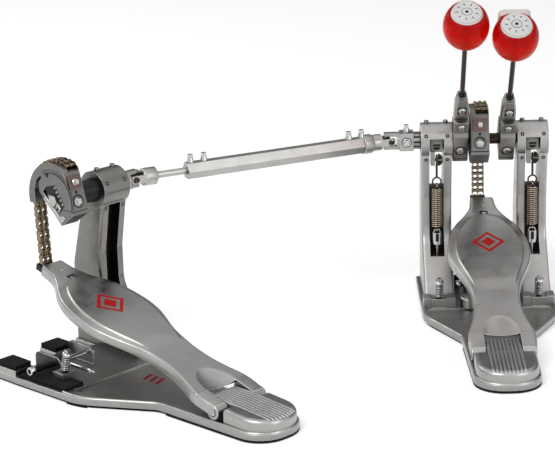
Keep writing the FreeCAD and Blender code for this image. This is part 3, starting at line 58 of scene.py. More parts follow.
HUB_X = {"left": -25.9, "right": 23.7}
HEAD_AT = {"left": 169, "right": 163.4}


def turn(axis, degrees):
    return Matrix.Rotation(math.radians(degrees), 4, axis)


def shift(x=0, y=0, z=0):
    return Matrix.Translation((x, y, z))


def polar(radius, degrees):
    """A point in a plane at a radius and an angle."""
    return radius * math.cos(math.radians(degrees)), radius * math.sin(math.radians(degrees))


HERE = Matrix.Identity(4)
REAR, ALONG_X = turn("X", 90), turn("Y", 90)  # z towards the player, z along x
SIDE_ON = Matrix(((0, 0, 1, 0), (1, 0, 0, 0), (0, 1, 0, 0), (0, 0, 0, 1)))  # x to y, y to z, z to x
LEFT_ON = Matrix.Scale(-1, 4, (1, 0, 0)) @ SIDE_ON  # the same with z to -x
UNIT = {"main": HERE, "slave": shift(*SLAVE_AT) @ turn("Z", SLAVE_TURN)}
SHAFT = {unit: UNIT[unit] @ shift(z=SHAFT_Z) for unit in UNITS}
BOARD = {unit: UNIT[unit] @ shift(*BOARD_AT) @ turn("X", BOARD_TURN) for unit in UNITS}
BEATER = {side: SHAFT["main"] @ turn("X", LEAN[side]) @ shift(HUB_X[side]) for side in SIDES}
DRIVE = shift(*DRIVE_AT) @ turn("Z", DRIVE_TURN)


# Materials. Scales of noise are per metre.

CLOUD, SPECK, SMEAR = 55, 700, 70
CLOUD_TONES, SPECK_TONE = (0.94, 1.06), 0.78
GRAIN_DEPTH = 0.0003


class Graph:
    """The nodes of a material or a world, added one by one."""

    def __init__(self, owner):
        owner.use_nodes = True
        self.owner, self.tree = owner, owner.node_tree
        self.tree.nodes.clear()
        self.place = self.add("TexCoord").outputs

    def add(self, kind, at=None, props=None, **sockets):
        """A node with its properties set, and its sockets by index in at or by name."""
        made = self.tree.nodes.new("ShaderNode" + kind)
        for key, value in (props or {}).items():
            setattr(made, key, value)
        named = {key.replace("_", " "): value for key, value in sockets.items()}
        for key, value in {**(at or {}), **named}.items():
            if isinstance(value, bpy.types.NodeSocket):
                self.tree.links.new(value, made.inputs[key])
            else:
                made.inputs[key].default_value = value
        return made

    def calc(self, operation, first, second):
        return self.add("Math", {0: first, 1: second}, {"operation": operation}).outputs[0]

    def dot(self, first, second):
        return self.add("VectorMath", {0: first, 1: second}, {"operation": "DOT_PRODUCT"}).outputs["Value"]

    def noise(self, scale, detail=2.0, rough=0.5, stretch=None):
        where = self.place["Object"]
        if stretch:
            where = self.add("Mapping", Vector=where, Scale=stretch).outputs[0]
        return self.add("TexNoise", Vector=where, Scale=scale, Detail=detail, Roughness=rough).outputs["Fac"]

    def span(self, value, to=(0, 1), of=(0.3, 0.7), smooth=False):
        """A value spread from one span to another and held at its ends."""
        kind = {"interpolation_type": "SMOOTHSTEP" if smooth else "LINEAR"}
        return self.add("MapRange", props=kind, Value=value, From_Min=of[0], From_Max=of[1], To_Min=to[0],
                        To_Max=to[1]).outputs[0]

    def mix(self, share, *colors):
        """A tone between two colours, each a socket or red, green and blue."""
        first, second = (tone if isinstance(tone, bpy.types.NodeSocket) else (*tone, 1) for tone in colors)
        # A Mix node has its colours at these sockets.
        return self.add("Mix", {0: share, 6: first, 7: second}, {"data_type": "RGBA"}).outputs[2]

    def edges(self, radius):
        """A rounded normal and a mask of the edges, which the materials lighten for wear and as a painted
        highlight.
        """
        soft = self.add("Bevel", props={"samples": 6}, Radius=radius).outputs[0]
        same = self.dot(soft, self.add("NewGeometry").outputs["Normal"])
        return soft, self.span(same, of=(0.995, 0.9))

    def dirt_and_shade(self, reach):
        """A mask of inner corners, which the materials darken for dirt and as painted shade."""
        free = self.add("AmbientOcclusion", props={"samples": 6}, Distance=reach).outputs["AO"]
        return self.span(free, to=(1, 0), of=(0.25, 0.9))

    def bump(self, height, strength, distance, **normal):
        return self.add("Bump", Height=height, Strength=strength, Distance=distance, **normal).outputs[0]

    def seen(self):
        """One on rays from the camera and on what a gloss or a clear piece shows."""
        path = self.add("LightPath").outputs
        direct = self.calc("MAXIMUM", path["Is Camera Ray"], path["Is Glossy Ray"])
        return self.calc("MAXIMUM", direct, path["Is Transmission Ray"])

    def close(self, surface, kind="OutputMaterial"):
        """Joins a surface to the output and gives back what the nodes belong to."""
        self.add(kind, Surface=surface.outputs[0])
        return self.owner

    def shader(self, **sockets):
        return self.close(self.add("BsdfPrincipled", **sockets))


def new_material(name):
    return Graph(bpy.data.materials.new(name))


def shade(color, share):
    return tuple(min(1.0, channel * share) for channel in color)


def metal(name, color, rough, grain=1500, bumpy=0.08, metallic=1.0, edge=0.0007, bright=1.3, dirt_and_shade_share=0.55,
          reach=0.02):
    """Metal with clouds and specks of tone, inner corners darkened for dirt and as painted shade, edges
    lightened for wear and as a painted highlight, and a fine grain.
    """
    g = new_material(name)
    tone = g.mix(g.span(g.noise(CLOUD, 5)), *(shade(color, share) for share in CLOUD_TONES))
    speck = g.span(g.noise(SPECK, 3), to=(0, 0.5), of=(0.45, 0.75))
    tone = g.mix(speck, tone, shade(color, SPECK_TONE))
    soft, wear_and_highlight = g.edges(edge)
    # Inner corners darken to a share of the colour: dirt and painted shade.
    tone = g.mix(g.dirt_and_shade(reach), tone, shade(color, dirt_and_shade_share))
    # Edges lighten to a share of the colour: wear and a painted highlight.
    tone = g.mix(wear_and_highlight, tone, shade(color, bright))
    smear = g.span(g.noise(SMEAR, 3), to=(rough - 0.06, rough + 0.07))
    gloss = g.calc("ADD", smear, g.span(wear_and_highlight, to=(0, -0.1), of=(0, 1)))
    return g.shader(Base_Color=tone, Metallic=metallic, Roughness=gloss,
                    Normal=g.bump(g.noise(grain), bumpy, GRAIN_DEPTH, Normal=soft))


def rubber(name):
    clean, dusty, rubbed_and_highlit = (0.006, 0.006, 0.0065), (0.016, 0.016, 0.015), (0.04, 0.039, 0.038)
    g = new_material(name)
    soft, wear_and_highlight = g.edges(0.0006)
    tone = g.mix(g.span(g.noise(45, 5), of=(0.42, 0.75)), clean, dusty)
    # Edges lighten: rubbing and a painted highlight.
    tone = g.mix(wear_and_highlight, tone, rubbed_and_highlit)
    return g.shader(Base_Color=tone, Roughness=g.span(g.noise(300), to=(0.7, 0.9)), Specular_IOR_Level=0.16,
                    Normal=g.bump(g.noise(1100, 3), 0.35, 0.0004, Normal=soft))


def red_plastic(name, side, centre):
    """Clear red moulding along a beater's own line, painted lighter and oranger at its foot as a glow of
    light through it, and darker at its top as painted shade.
    """
    foot, middle, top = (1.0, 0.06, 0.008), (0.9, 0.008, 0.003), (0.6, 0.004, 0.003)
    g = new_material(name)
    soft, wear_and_highlight = g.edges(0.0009)
    up, back = polar(1, LEAN[side])
    swirl = g.span(g.noise(26, 3), to=(-0.003, 0.003), of=(0.35, 0.7))
    along = g.calc("ADD", g.dot(g.place["Object"], (0, -back, up)), swirl)
    # The light orange foot is a painted glow of light through the ball, and the deep red top is painted
    # shade.
    tone = g.mix(g.span(along, of=(centre - 0.018, centre + 0.004)), foot, middle)
    tone = g.mix(g.span(along, of=(centre + 0.004, centre + 0.016)), tone, top)
    # Edges lighten: wear and a painted highlight.
    tone = g.mix(wear_and_highlight, tone, (0.95, 0.06, 0.03))
    return g.shader(Base_Color=tone, Roughness=g.span(g.noise(120), to=(0.07, 0.13)), Specular_IOR_Level=0.2,
                    Transmission_Weight=0.24, IOR=1.25,
                    Normal=g.bump(g.noise(900), 0.02, 0.0002, Normal=soft))


def white_plastic(name):
    dull, clear, dirty_and_shaded = (0.78, 0.77, 0.76), (0.86, 0.86, 0.85), (0.5, 0.49, 0.48)
    g = new_material(name)
    soft, wear_and_highlight = g.edges(0.0005)
    tone = g.mix(g.span(g.noise(60, 4), of=(0.35, 0.7)), dull, clear)
    # Inner corners darken: dirt and painted shade.
    tone = g.mix(g.dirt_and_shade(0.004), tone, dirty_and_shaded)
    # Edges lighten: wear and a painted highlight.
    tone = g.mix(wear_and_highlight, tone, (0.92, 0.92, 0.91))
    return g.shader(Base_Color=tone, Roughness=g.span(g.noise(250), to=(0.28, 0.42)),
                    Normal=g.bump(g.noise(1500), 0.05, 0.0002, Normal=soft))


def felt(name):
    deep, pale, tip = (0.80, 0.77, 0.70), (0.90, 0.88, 0.83), (0.94, 0.93, 0.89)
    g = new_material(name)
    fibre = g.noise(900, 5, 0.7, stretch=(1.0, 0.35, 1.6))
    tone = g.mix(g.span(g.noise(130, 4), of=(0.35, 0.7)), deep, pale)
    tone = g.mix(g.span(fibre, to=(0, 0.6), of=(0.5, 0.8)), tone, tip)
    return g.shader(Base_Color=tone, Roughness=0.95, Sheen_Weight=0.4, Sheen_Roughness=0.5,
                    Normal=g.bump(fibre, 0.7, 0.0009))


def red_paint(name):
    g = new_material(name)
    tone = g.mix(g.span(g.noise(120, 4), of=(0.4, 0.75)), (0.42, 0.004, 0.006), (0.52, 0.01, 0.01))
    return g.shader(Base_Color=tone, Roughness=g.span(g.noise(200), to=(0.3, 0.45)), Specular_IOR_Level=0.2,
                    Normal=g.bump(g.noise(1400), 0.08, 0.0002))


MAT = {
    "cast": metal("cast_aluminium", (0.43, 0.425, 0.415), 0.33, bumpy=0.1, bright=1.8, dirt_and_shade_share=0.42),
    "alloy": metal("grey_alloy", (0.29, 0.28, 0.265), 0.36, bumpy=0.12, bright=1.8, dirt_and_shade_share=0.25),
    "cam": metal("cam_alloy", (0.19, 0.188, 0.182), 0.32, bumpy=0.2, bright=2.2, dirt_and_shade_share=0.3),
    # The slave post has a darker copy of the other posts' cast aluminium: painted shade.
    "post": metal("post_with_painted_shade", (0.23, 0.227, 0.218), 0.27, bumpy=0.1, bright=2.2, dirt_and_shade_share=0.25, reach=0.03),
    "graphite": metal("dark_cast", (0.24, 0.24, 0.24), 0.42, bumpy=0.3, bright=1.8, dirt_and_shade_share=0.3, reach=0.004),
    "pale": metal("pale_aluminium", (0.46, 0.455, 0.44), 0.34, grain=900, bumpy=0.05, bright=1.2, dirt_and_shade_share=0.4),
    "dark": metal("dark_steel", (0.075, 0.058, 0.05), 0.38, bright=2.4, dirt_and_shade_share=0.5),
    "black": metal("black_oxide", (0.014, 0.013, 0.013), 0.36, bright=3.5, dirt_and_shade_share=0.5, metallic=0.6),
    "brown": metal("brown_plate", (0.16, 0.11, 0.095), 0.36, bright=2.2, dirt_and_shade_share=0.4),
    "bright": metal("bright_steel", (0.56, 0.56, 0.56), 0.13, bumpy=0.03, edge=0.0003, dirt_and_shade_share=0.12,
                    reach=0.008),
    "bronze": metal("bronze_chain", (0.25, 0.19, 0.13), 0.28, bumpy=0.05, edge=0.0003, bright=2.4, dirt_and_shade_share=0.08,
                    reach=0.008),
    "spring": metal("spring_wire", (0.36, 0.30, 0.23), 0.24, bumpy=0.03, edge=0.0002, dirt_and_shade_share=0.06, reach=0.01),
    "ribs": metal("ribbed_cast", (0.44, 0.44, 0.44), 0.4, bumpy=0.3, bright=1.9, dirt_and_shade_share=0.12, reach=0.003),
    "rubber": rubber("black_rubber"),
    "red_left": red_plastic("red_plastic_left", "left", 0.3162),
    "red_right": red_plastic("red_plastic_right", "right", 0.3036),
    "white": white_plastic("white_plastic"),
    "felt": felt("cream_felt"),
    "paint": red_paint("red_inlay"),
}


def each(prefixes, *names):
    return [prefix + "_" + name for name in names for prefix in prefixes]


# Materials of the solids.
FINISH = {
    "cast": each(UNITS, "base_plate", "heel_plate", "footboard") + ["main_left_post", "main_right_post"],
    "post": ["slave_post"],
    "cam": each(UNITS, "cam"),
    "alloy": each(UNITS, "fasteners") + each(SIDES, "beater_hub", "rocker"),
    "pale": ["drive_tube", "drive_rod", "left_sleeve", "slave_shaft"],
    "dark": each(SIDES, "beater_rod", "spring_link") + each(["drive_cross"], *UNITS) + [
        "main_shaft", "main_left_spur", "main_right_spur", "slave_left_spur"],
    "black": each(UNITS, "bearings", "toe_clip"),
    "bright": each(UNITS, "clamp_lever", "clamp_screw", "drive_screws") + [
        "spring_anchors", "left_drive_screws", "drive_tube_screws"],
    "bronze": each(UNITS, "chain_wrap", "chain_run"),
    "spring": each(SIDES, "return_spring") + each(UNITS, "spur_springs"),
    "rubber": each(UNITS, "rubber"),
    "red_left": ["left_beater_head"],
    "red_right": ["right_beater_head"],
    "white": each(SIDES, "beater_cap"),
    "felt": each(SIDES, "beater_pad"),
}
for kind, names in FINISH.items():
    for name in names:
        nodes[name].data.materials.clear()
        nodes[name].data.materials.append(MAT[kind])


# Shapes.

BEVEL_ANGLE, SMOOTH_ANGLE = 0.6, 0.65  # radians between two faces


class Shape:
    """Mesh parts in millimetres, each set in its own place."""

    def __init__(self):
        self.mesh = bmesh.new()

    def move(self, place, verts=None):
        """Sets some points in a place, or all of them."""
        bmesh.ops.transform(self.mesh, matrix=place, verts=self.mesh.verts if verts is None else verts)
        return self

    def skin(self, rings, closed=False):
        """Faces over rings of points, with covered ends unless the last ring meets the first."""
        count = len(rings[0])
        for low, high in zip(rings, rings[1:] + (rings[:1] if closed else [])):
            for k in range(count):
                self.mesh.faces.new((low[k], low[(k + 1) % count], high[(k + 1) % count], high[k]))
        if not closed:
            self.mesh.faces.new(rings[0][::-1])
            self.mesh.faces.new(rings[-1])
        return sum(rings, [])

    def lathe(self, profile, place=HERE, steps=32):
        """A profile of radius and height turned about z; a radius of zero closes an end."""
        rings = []
        for radius, height in profile:
            spots = [polar(radius, 360 * k / steps) for k in range(steps if radius else 1)]
            rings.append([self.mesh.verts.new((*spot, height)) for spot in spots])
        for low, high in zip(rings, rings[1:]):
            for k in range(steps):
                corners = (low[k % len(low)], low[(k + 1) % len(low)], high[(k + 1) % len(high)],
                           high[k % len(high)])
                corners = list(dict.fromkeys(corners))
                if len(corners) > 2:
                    self.mesh.faces.new(corners)
        return self.move(place, sum(rings, []))

    def tube(self, path, radius, place=HERE, sides=10, closed=False):
        """A round wire along a path."""
        path = [Vector(point) for point in path]
        side, rings = None, []
        for k, point in enumerate(path):
            ahead = path[(k + 1) % len(path)] if closed or k + 1 < len(path) else point
            behind = path[k - 1] if closed or k > 0 else point
            way = (ahead - behind).normalized()
            side = way.orthogonal() if side is None else side
            side = (side - way * side.dot(way)).normalized()
            spots = [polar(radius, 360 * j / sides) for j in range(sides)]
            rings.append([self.mesh.verts.new(point + side * x + way.cross(side) * y) for x, y in spots])
        return self.move(place, self.skin(rings, closed))

    def loft(self, rings, place=HERE):
        """A closed skin over rings with the same count of points."""
        return self.move(place, self.skin([[self.mesh.verts.new(point) for point in ring] for ring in rings]))

    def prism(self, outline, low, high, place=HERE, bevel=0.0, segments=2):
        """An outline in x and y drawn up from low to high, with its edges bevelled."""
        made = self.skin([[self.mesh.verts.new((*point, z)) for point in outline] for z in (low, high)])
        if bevel:
            edges = {edge for vert in made for edge in vert.link_edges}
            sharp = [edge for edge in edges if edge.is_manifold and edge.calc_face_angle(0) > BEVEL_ANGLE]
            done = bmesh.ops.bevel(self.mesh, geom=sharp, offset=bevel, segments=segments, profile=0.5,
                                   affect="EDGES", clamp_overlap=True)
            made = list({vert for vert in made if vert.is_valid} | set(done["verts"]))
        return self.move(place, made)

    def block(self, size, at=(0, 0, 0), place=HERE, bevel=0.4):
        """A box of a size with its middle at a point of a place."""
        x, y, z = (length / 2 for length in size)
        return self.prism([(-x, -y), (x, -y), (x, y), (-x, y)], -z, z, place @ shift(*at), bevel)


def put(name, data):
    made = bpy.data.objects.new(name, data)
    bpy.context.scene.collection.objects.link(made)
    return made


def piece(name, shape, kind, body, *replaced, blended=None):
    """Makes an object of a shape and gives it its material; sets it on a body, or leaves a blended one in
    place in the world.
    """
    mesh = bpy.data.meshes.new(name)
    bmesh.ops.recalc_face_normals(shape.mesh, faces=shape.mesh.faces)
    for face in shape.mesh.faces:
        face.smooth = True
    for edge in shape.mesh.edges:
        edge.smooth = edge.is_manifold and edge.calc_face_angle(0) < SMOOTH_ANGLE
    bmesh.ops.scale(shape.mesh, vec=(MM,) * 3, verts=shape.mesh.verts)
    shape.mesh.to_mesh(mesh)
    shape.mesh.free()
    made = put(name, mesh)
    mesh.materials.append(MAT[kind])
    if blended:
        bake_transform(made)
    else:
        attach(made, body)
    if replaced:
        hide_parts(*replaced)
    return made


# Drive chains: two strands of plates on shared pins.

CHAIN_X, CHAIN_R, CHAIN_PITCH = -3.6, 38, 6.35
CHAIN_START, CHAIN_LEAN, CAM_LINKS, RUN_LINKS = -6, 3.6, 12, 11
PLATE_HALF, PLATE_WAIST, PLATE_THICK = 2.8, 2.05, 0.8
INNER_ROWS, OUTER_ROWS = (-5.1, -0.9, 0.9, 5.1), (-6.1, 0, 6.1)
PIN = ((0, -6.9), (0.7, -6.9), (1, -6.5), (1, 6.5), (0.7, 6.9), (0, 6.9))
ROLLER_R, ROLLER_ROWS = 1.8, ((-4.6, -1.4), (1.4, 4.6))


def link_outline(reach):
    """The plan of a chain plate between two pins on the x axis."""
    points = []
    for centre, start, waist in ((0, 90, -PLATE_WAIST), (reach, -90, PLATE_WAIST)):
        arc = [polar(PLATE_HALF, start + 22.5 * k) for k in range(9)]
        points += [(centre + x, y) for x, y in arc] + [(reach / 2, waist)]
    return points


def chain_link(shape, start, end, rows):
    """One link from pin to pin, in the plane across the shaft."""
    run = Vector(end) - Vector(start)
    place = shift(*start) @ SIDE_ON @ turn("Z", math.degrees(math.atan2(run.z, run.y)))
    for row in rows:
        shape.prism(link_outline(run.length), row - PLATE_THICK / 2, row + PLATE_THICK / 2, place, 0.12, 1)


def chain_pin(shape, at):
    place = shift(*at) @ ALONG_X
    shape.lathe(PIN, place, 12)
    for low, high in ROLLER_ROWS:
        shape.lathe([(0, low), (ROLLER_R, low), (ROLLER_R, high), (0, high)], place, 14)


link_turn = math.degrees(CHAIN_PITCH / CHAIN_R)
on_cam = [(0, *polar(CHAIN_R, CHAIN_START + link_turn * k)) for k in range(CAM_LINKS + 1)]
drop_y, drop_z = polar(CHAIN_PITCH, -90 - CHAIN_LEAN)
hanging = [(0, on_cam[0][1] + drop_y * k, on_cam[0][2] + drop_z * k) for k in range(RUN_LINKS + 1)]
CHAINS = (("_chain_wrap", "_drive", on_cam, on_cam, (INNER_ROWS, OUTER_ROWS)),
          ("_chain_run", "_chain", hanging, hanging[1:], (OUTER_ROWS, INNER_ROWS)))
for unit in UNITS:
    for name, body, spots, pinned, rows in CHAINS:
        links = Shape()
        for k, ends in enumerate(zip(spots, spots[1:])):
            chain_link(links, *ends, rows[k % 2])
        for at in pinned:
            chain_pin(links, at)
        links.move(SHAFT[unit] @ shift(CHAIN_X))
        piece(unit + name + "_links", links, "bronze", unit + body, unit + name)


# Wound springs, and the screws of the floor spurs.

SPRING_LOW, SPRING_HIGH, SPRING_Y = 81.5, 124.5, -12
EYE_R, EYE_RISE, EYE_TURN, EYE_STEPS = 2.4, 3, 334.8, 18
SPURS = (("main", "left", -60), ("main", "right", -60), ("slave", "left", -43))
SPUR_X, SPUR_LEAN = 53, 16
SPUR_SHANK = ((0, 2), (0.5, 2.2), (2.6, 7), (2.6, 38.4), (0, 38.4))
SPUR_HEAD = ((0, 38.2), (4.6, 38.2), (5, 38.6), (5, 39.8), (4.4, 40.8), (3.2, 41.3), (0, 41.4))


def helix(radius, low, high, turns, steps=28):
    count = turns * steps
    return [(*polar(radius, 360 * k / steps), low + (high - low) * k / count) for k in range(count + 1)]


def eye(height, sign):
    """An eye of a return spring, up or down from a height."""
    spots = [polar(EYE_R, EYE_TURN * k / EYE_STEPS) for k in range(EYE_STEPS + 1)]
    return [(0, -y, height + sign * (EYE_RISE - x)) for x, y in spots]


for side in SIDES:
    coil = helix(radius=5, low=SPRING_LOW, high=SPRING_HIGH, turns=20)
    path = eye(SPRING_LOW, -1)[::-1] + coil[3:-3] + eye(SPRING_HIGH, 1)
    place = shift(SIGN[side] * POST_X, SPRING_Y)
    ends = [place @ Vector((0, 0, height)) for height in (83, 123)]
    piece(side + "_return_coil", Shape().tube(path, 0.85, place), "spring", "main_frame",
          side + "_return_spring", blended=(*ends, side + "_spring_link"))
for unit, side, y in SPURS:
    body = unit + "_" + side + "_spur"
    place = UNIT[unit] @ shift(SIGN[side] * SPUR_X, y) @ turn("X", SPUR_LEAN)
    ends = [place @ Vector((0, 0, height)) for height in (23, 37.5)]
    coil = Shape().tube(helix(radius=3.9, low=21.5, high=38.2, turns=8), 0.5, place, 8)
    shank = Shape().lathe(SPUR_SHANK, place, 20)
    head = Shape().lathe(SPUR_HEAD, place, 28).block((4.6, 4.6, 3.4), (0, 0, 42.2), place, 0.6)
    piece(body + "_coil", coil, "bright", unit + "_frame", unit + "_spur_springs", blended=(*ends, body))
    piece(body + "_shank", shank, "dark", body, body)
    piece(body + "_head", head, "bright", body, body)


# Screws and small fittings.

def key_head(shape, place, radius, rise, side):
    """A flared round head that carries a square key, standing along z."""
    flare = [(0, 0), (radius, 0), (radius, 0.12 * rise), (0.9 * radius, 0.2 * rise),
             (0.68 * side, 0.5 * rise), (0.64 * side, 0.56 * rise), (0, 0.56 * rise)]
    shape.lathe(flare, place, 24)
    shape.block((side, side, 0.5 * rise), (0, 0, 0.75 * rise), place, 0.09 * side)


def ring_line(shape, place, radius, wire, start=0, end=360):
    """A thin round line in the plane across z, whole or as an arc."""
    sweep = end - start
    count = max(8, int(sweep / 8))
    path = [(*polar(radius, start + sweep * k / count), 0) for k in range(count + (sweep < 360))]
    shape.tube(path, wire, place, 8, closed=sweep >= 360)


def hole(dark, bright, place, radius):
    """A sunk screw: a dark disc that paints the shade of its recess, with a bright socket in it."""
    dark.lathe([(0, 0), (radius, 0), (0.94 * radius, 0.14), (0, 0.14)], place, 18)
    bright.lathe([(0, 0.1), (0.34 * radius, 0.1), (0.28 * radius, 0.25), (0, 0.25)], place, 14)


def rounded(width, height, corner, steps=6):
    """A rectangle about the origin with round corners."""
    points = []
    for sx, sy, start in ((1, 1, 0), (-1, 1, 90), (-1, -1, 180), (1, -1, 270)):
        arc = [polar(corner, start + 90 * k / steps) for k in range(steps + 1)]
        points += [(sx * (width / 2 - corner) + x, sy * (height / 2 - corner) + y) for x, y in arc]
    return points


# Footboards: half widths by the place along the board, measured from the hinge.

BOARD_HALF = (
    (-4, 32.5), (8, 33.6), (20, 34), (30, 32.6), (42, 29.4), (56, 26.2), (70, 24.4), (85, 24), (100, 25.2),
    (115, 28), (130, 32.6), (145, 38), (158, 41.8), (172, 43.6), (188, 43.2), (204, 41), (218, 36.8),
    (231, 30.4), (242, 23.2), (250, 18.4), (257, 15.4), (266, 13.9), (275, 13.2), (277.5, 12.6))
PANEL_HALF = (
    (96, 18.5), (112, 21.6), (128, 25.4), (144, 30), (160, 33.4), (175, 34.4), (190, 33.4), (205, 30.2),
    (218, 25.4), (228, 20), (236, 13.4), (241, 6), (243, 0.6))
PANEL_START, PANEL_END, PANEL_RISE, EDGE_FALL, RIM_WIDTH = 96, 243, 0.9, 1.9, 6.7
PANEL_IN, FALL_IN, FALL_OUT, THINNING = (98, 122), (100, 135), (236, 256), (95, 60)
BOARD_TOP, BOARD_LOW, BOARD_END, NOTCH, TONGUE = 7.5, -4, 277.5, 23.5, 18.1
BOARD_STEPS, TOP_STEPS, RIM_SHARES = 204, 20, (0.06, 0.35, 0.7)
ROUND_EDGE = ((-2.4, 0), (-1.5, -0.2), (-0.7, -0.75), (-0.2, -1.55), (0, -2.5))
LOW_EDGE = ((0, 1), (-0.3, 0.3), (-1, 0), (-3.2, 0))
HOLLOW_HALF, HOLLOW_AT, HOLLOW_REACH, HOLLOW_DEEP = 18.4, 22.5, 31, 3.6
ARM_PLACES = (-1, 2, 5, 8, 11, 14, 17, 20, 22, NOTCH + 0.5)
EAR = ((3.2, TONGUE), (6.9, TONGUE), (7.4, TONGUE + 0.5), (7.4, 31.9), (6.8, 32.5), (3.2, 32.5))
EAR_PIN = ((0, 32.4), (3.3, 32.4), (3.2, 32.8), (1.7, 32.9), (1.5, 32.6), (0, 32.6))
TIP_PIN = ((0, 0), (1.3, 0), (1, 0.35), (0, 0.4))


def curve(points, at):
    """The value at a place on the smooth curve through points of place and value."""
    index = sum(1 for place, _ in points[1:-1] if place <= at)

    def slope(k):
        low, high = max(0, k - 1), min(len(points) - 1, k + 1)
        return (points[high][1] - points[low][1]) / (points[high][0] - points[low][0])

    (start, first), (end, last) = points[index:index + 2]
    run = end - start
    share = max(0.0, min(1.0, (at - start) / run))
    return ((1 + 2 * share) * (1 - share) ** 2 * first + share * (1 - share) ** 2 * run * slope(index)
            + share ** 2 * (3 - 2 * share) * last + share ** 2 * (share - 1) * run * slope(index + 1))


def ease(value, start, end):
    share = max(0.0, min(1.0, (value - start) / (end - start)))
    return share * share * (3 - 2 * share)


def board_ring(at):
    """The closed outline of the board across itself at a place along it."""
    half = curve(BOARD_HALF, at)
    inner = curve(PANEL_HALF, at) if at > PANEL_START else half - RIM_WIDTH
    rise = PANEL_RISE * ease(at, *PANEL_IN) if at <= PANEL_END else 0
    fall = EDGE_FALL * ease(at, *FALL_IN) * (1 - ease(at, *FALL_OUT))
    thin = ease(at, *THINNING)
    right = []
    for k in range(TOP_STEPS + 1):
        share = k / TOP_STEPS
        sunk = max(0, 1 - (inner * share / HOLLOW_HALF) ** 2 - ((at - HOLLOW_AT) / HOLLOW_REACH) ** 2)
        level = BOARD_TOP + rise * (1.5 - 0.5 * share ** 2)
        right.append((inner * share, level - HOLLOW_DEEP * sunk ** 0.75))
    start, end = inner + 0.5, half + ROUND_EDGE[0][0]
    right += [(start + (end - start) * share, BOARD_TOP - fall * share) for share in RIM_SHARES]
    right += [(half + x, BOARD_TOP - fall + z) for x, z in ROUND_EDGE]
    right += [(half + x, BOARD_LOW + z) for x, z in LOW_EDGE]
    right += [(half - 3.4, 1 + 2.5 * thin), (half - 4.4, 1.2 + 2.4 * thin)]
    ring = [(x, at, z) for x, z in right]
    return ring + [(-x, y, z) for x, y, z in reversed(ring[1:])]


def arm_ring(at, sign):
    """The outline of one of the two arms that reach to the hinge."""
    half = curve(BOARD_HALF, at)
    section = [(TONGUE, BOARD_LOW + 0.6), (TONGUE + 0.6, BOARD_LOW), (half - 1, BOARD_LOW),
               (half, BOARD_LOW + 1)]
    section += [(half + x, BOARD_TOP + z) for x, z in reversed(ROUND_EDGE)]
    section += [(TONGUE + 0.5, BOARD_TOP), (TONGUE, BOARD_TOP - 0.5)]
    return [(sign * x, at, z) for x, z in section]


for unit in UNITS:
    place, body = BOARD[unit], unit + "_footboard"
    board, dark, pins = Shape(), Shape(), Shape()
    places = [NOTCH + (BOARD_END - NOTCH) * k / BOARD_STEPS for k in range(BOARD_STEPS + 1)]
    board.loft([board_ring(at) for at in places], place)
    for sign in SIGN.values():
        board.loft([arm_ring(at, sign) for at in ARM_PLACES], place)
        ear = place @ turn("Y", 90 * sign)
        board.lathe(EAR, ear, 40)
        ring_line(dark, ear @ shift(z=32.5), radius=3.9, wire=0.4)
        pins.lathe(EAR_PIN, ear, 24)
    # A dark square paints the shade inside the hole near the toe.
    dark.block((8.8, 5.5, 0.66), (0, 247.25, BOARD_TOP - 0.27), place, 0)
    pins.lathe(TIP_PIN, place @ shift(0, 261.5, BOARD_TOP), 16)
    pins.block((5.2, 2, 0.3), (0, 245.8, BOARD_TOP + 0.05), place, 0.1)
    piece(unit + "_board", board, "cast", body, body)
    piece(unit + "_board_holes", dark, "black", body)
    piece(unit + "_board_pins", pins, "bright", body)


# Heel plates: rounded block, dark tread and rounded ribs.

HEEL_END, HEEL_SIDE, HEEL_HALF, HEEL_ROUND = -64.7, -13.2, 31, 28.5
HEEL_LOW, HEEL_TOP, HEEL_SLOPE, TONGUE_TOP = 9, 20.6, 0.066, 24.4
# Inset, level, whether the level follows the slope, and inset at the hinge.
HEEL_RINGS = ((0.5, HEEL_LOW, False, 0), (0, 9.5, False, 0), (0, 16, True, 0), (0.3, 18, True, 0),
              (1.2, 19.5, True, 0.3), (2.6, 20.35, True, 0.6), (4, HEEL_TOP, True, 0.8))
TREAD_RINGS = ((4.4, 20.5, True, 1), (4.4, 20.82, True, 1))
RIB_COUNT, RIB_PITCH, RIB_HALF, RIB_TALL, RIB_INSET, RIB_ROOT, RIB_DIP = 9, 3.9, 1.6, 1.5, 1.6, 0.6, 1.1
RIB_FRONT = ((20.4, 0), (19.6, 1), (5, 1), (-6.2, 1), (-25, 1))  # place and share of the height
RIB_REAR = ((5, 1), (3, 0.9), (1.4, 0.55), (0.3, 0), (0, -0.6))  # the same, from the rib's end
RIB_SECTION = ((-1, 0), (-1, 0.5), (-0.75, 0.85), (-0.35, 1), (0.35, 1), (0.75, 0.85), (1, 0.5), (1, 0))


def heel_rise(y):
    return min(TONGUE_TOP, HEEL_TOP + HEEL_SLOPE * (y - HEEL_END)) - HEEL_TOP


def heel_ring(inset, level, tilted, front):
    points = [(HEEL_HALF - inset, HEEL_SIDE - front)]
    for k in range(19):
        x, y = polar(HEEL_ROUND - inset, -5 * k)
        points.append((HEEL_HALF - HEEL_ROUND + x, HEEL_END + HEEL_ROUND + y))
    points += [(-x, y) for x, y in reversed(points)]
    return [(x, y, level + (heel_rise(y) if tilted else 0)) for x, y in points]


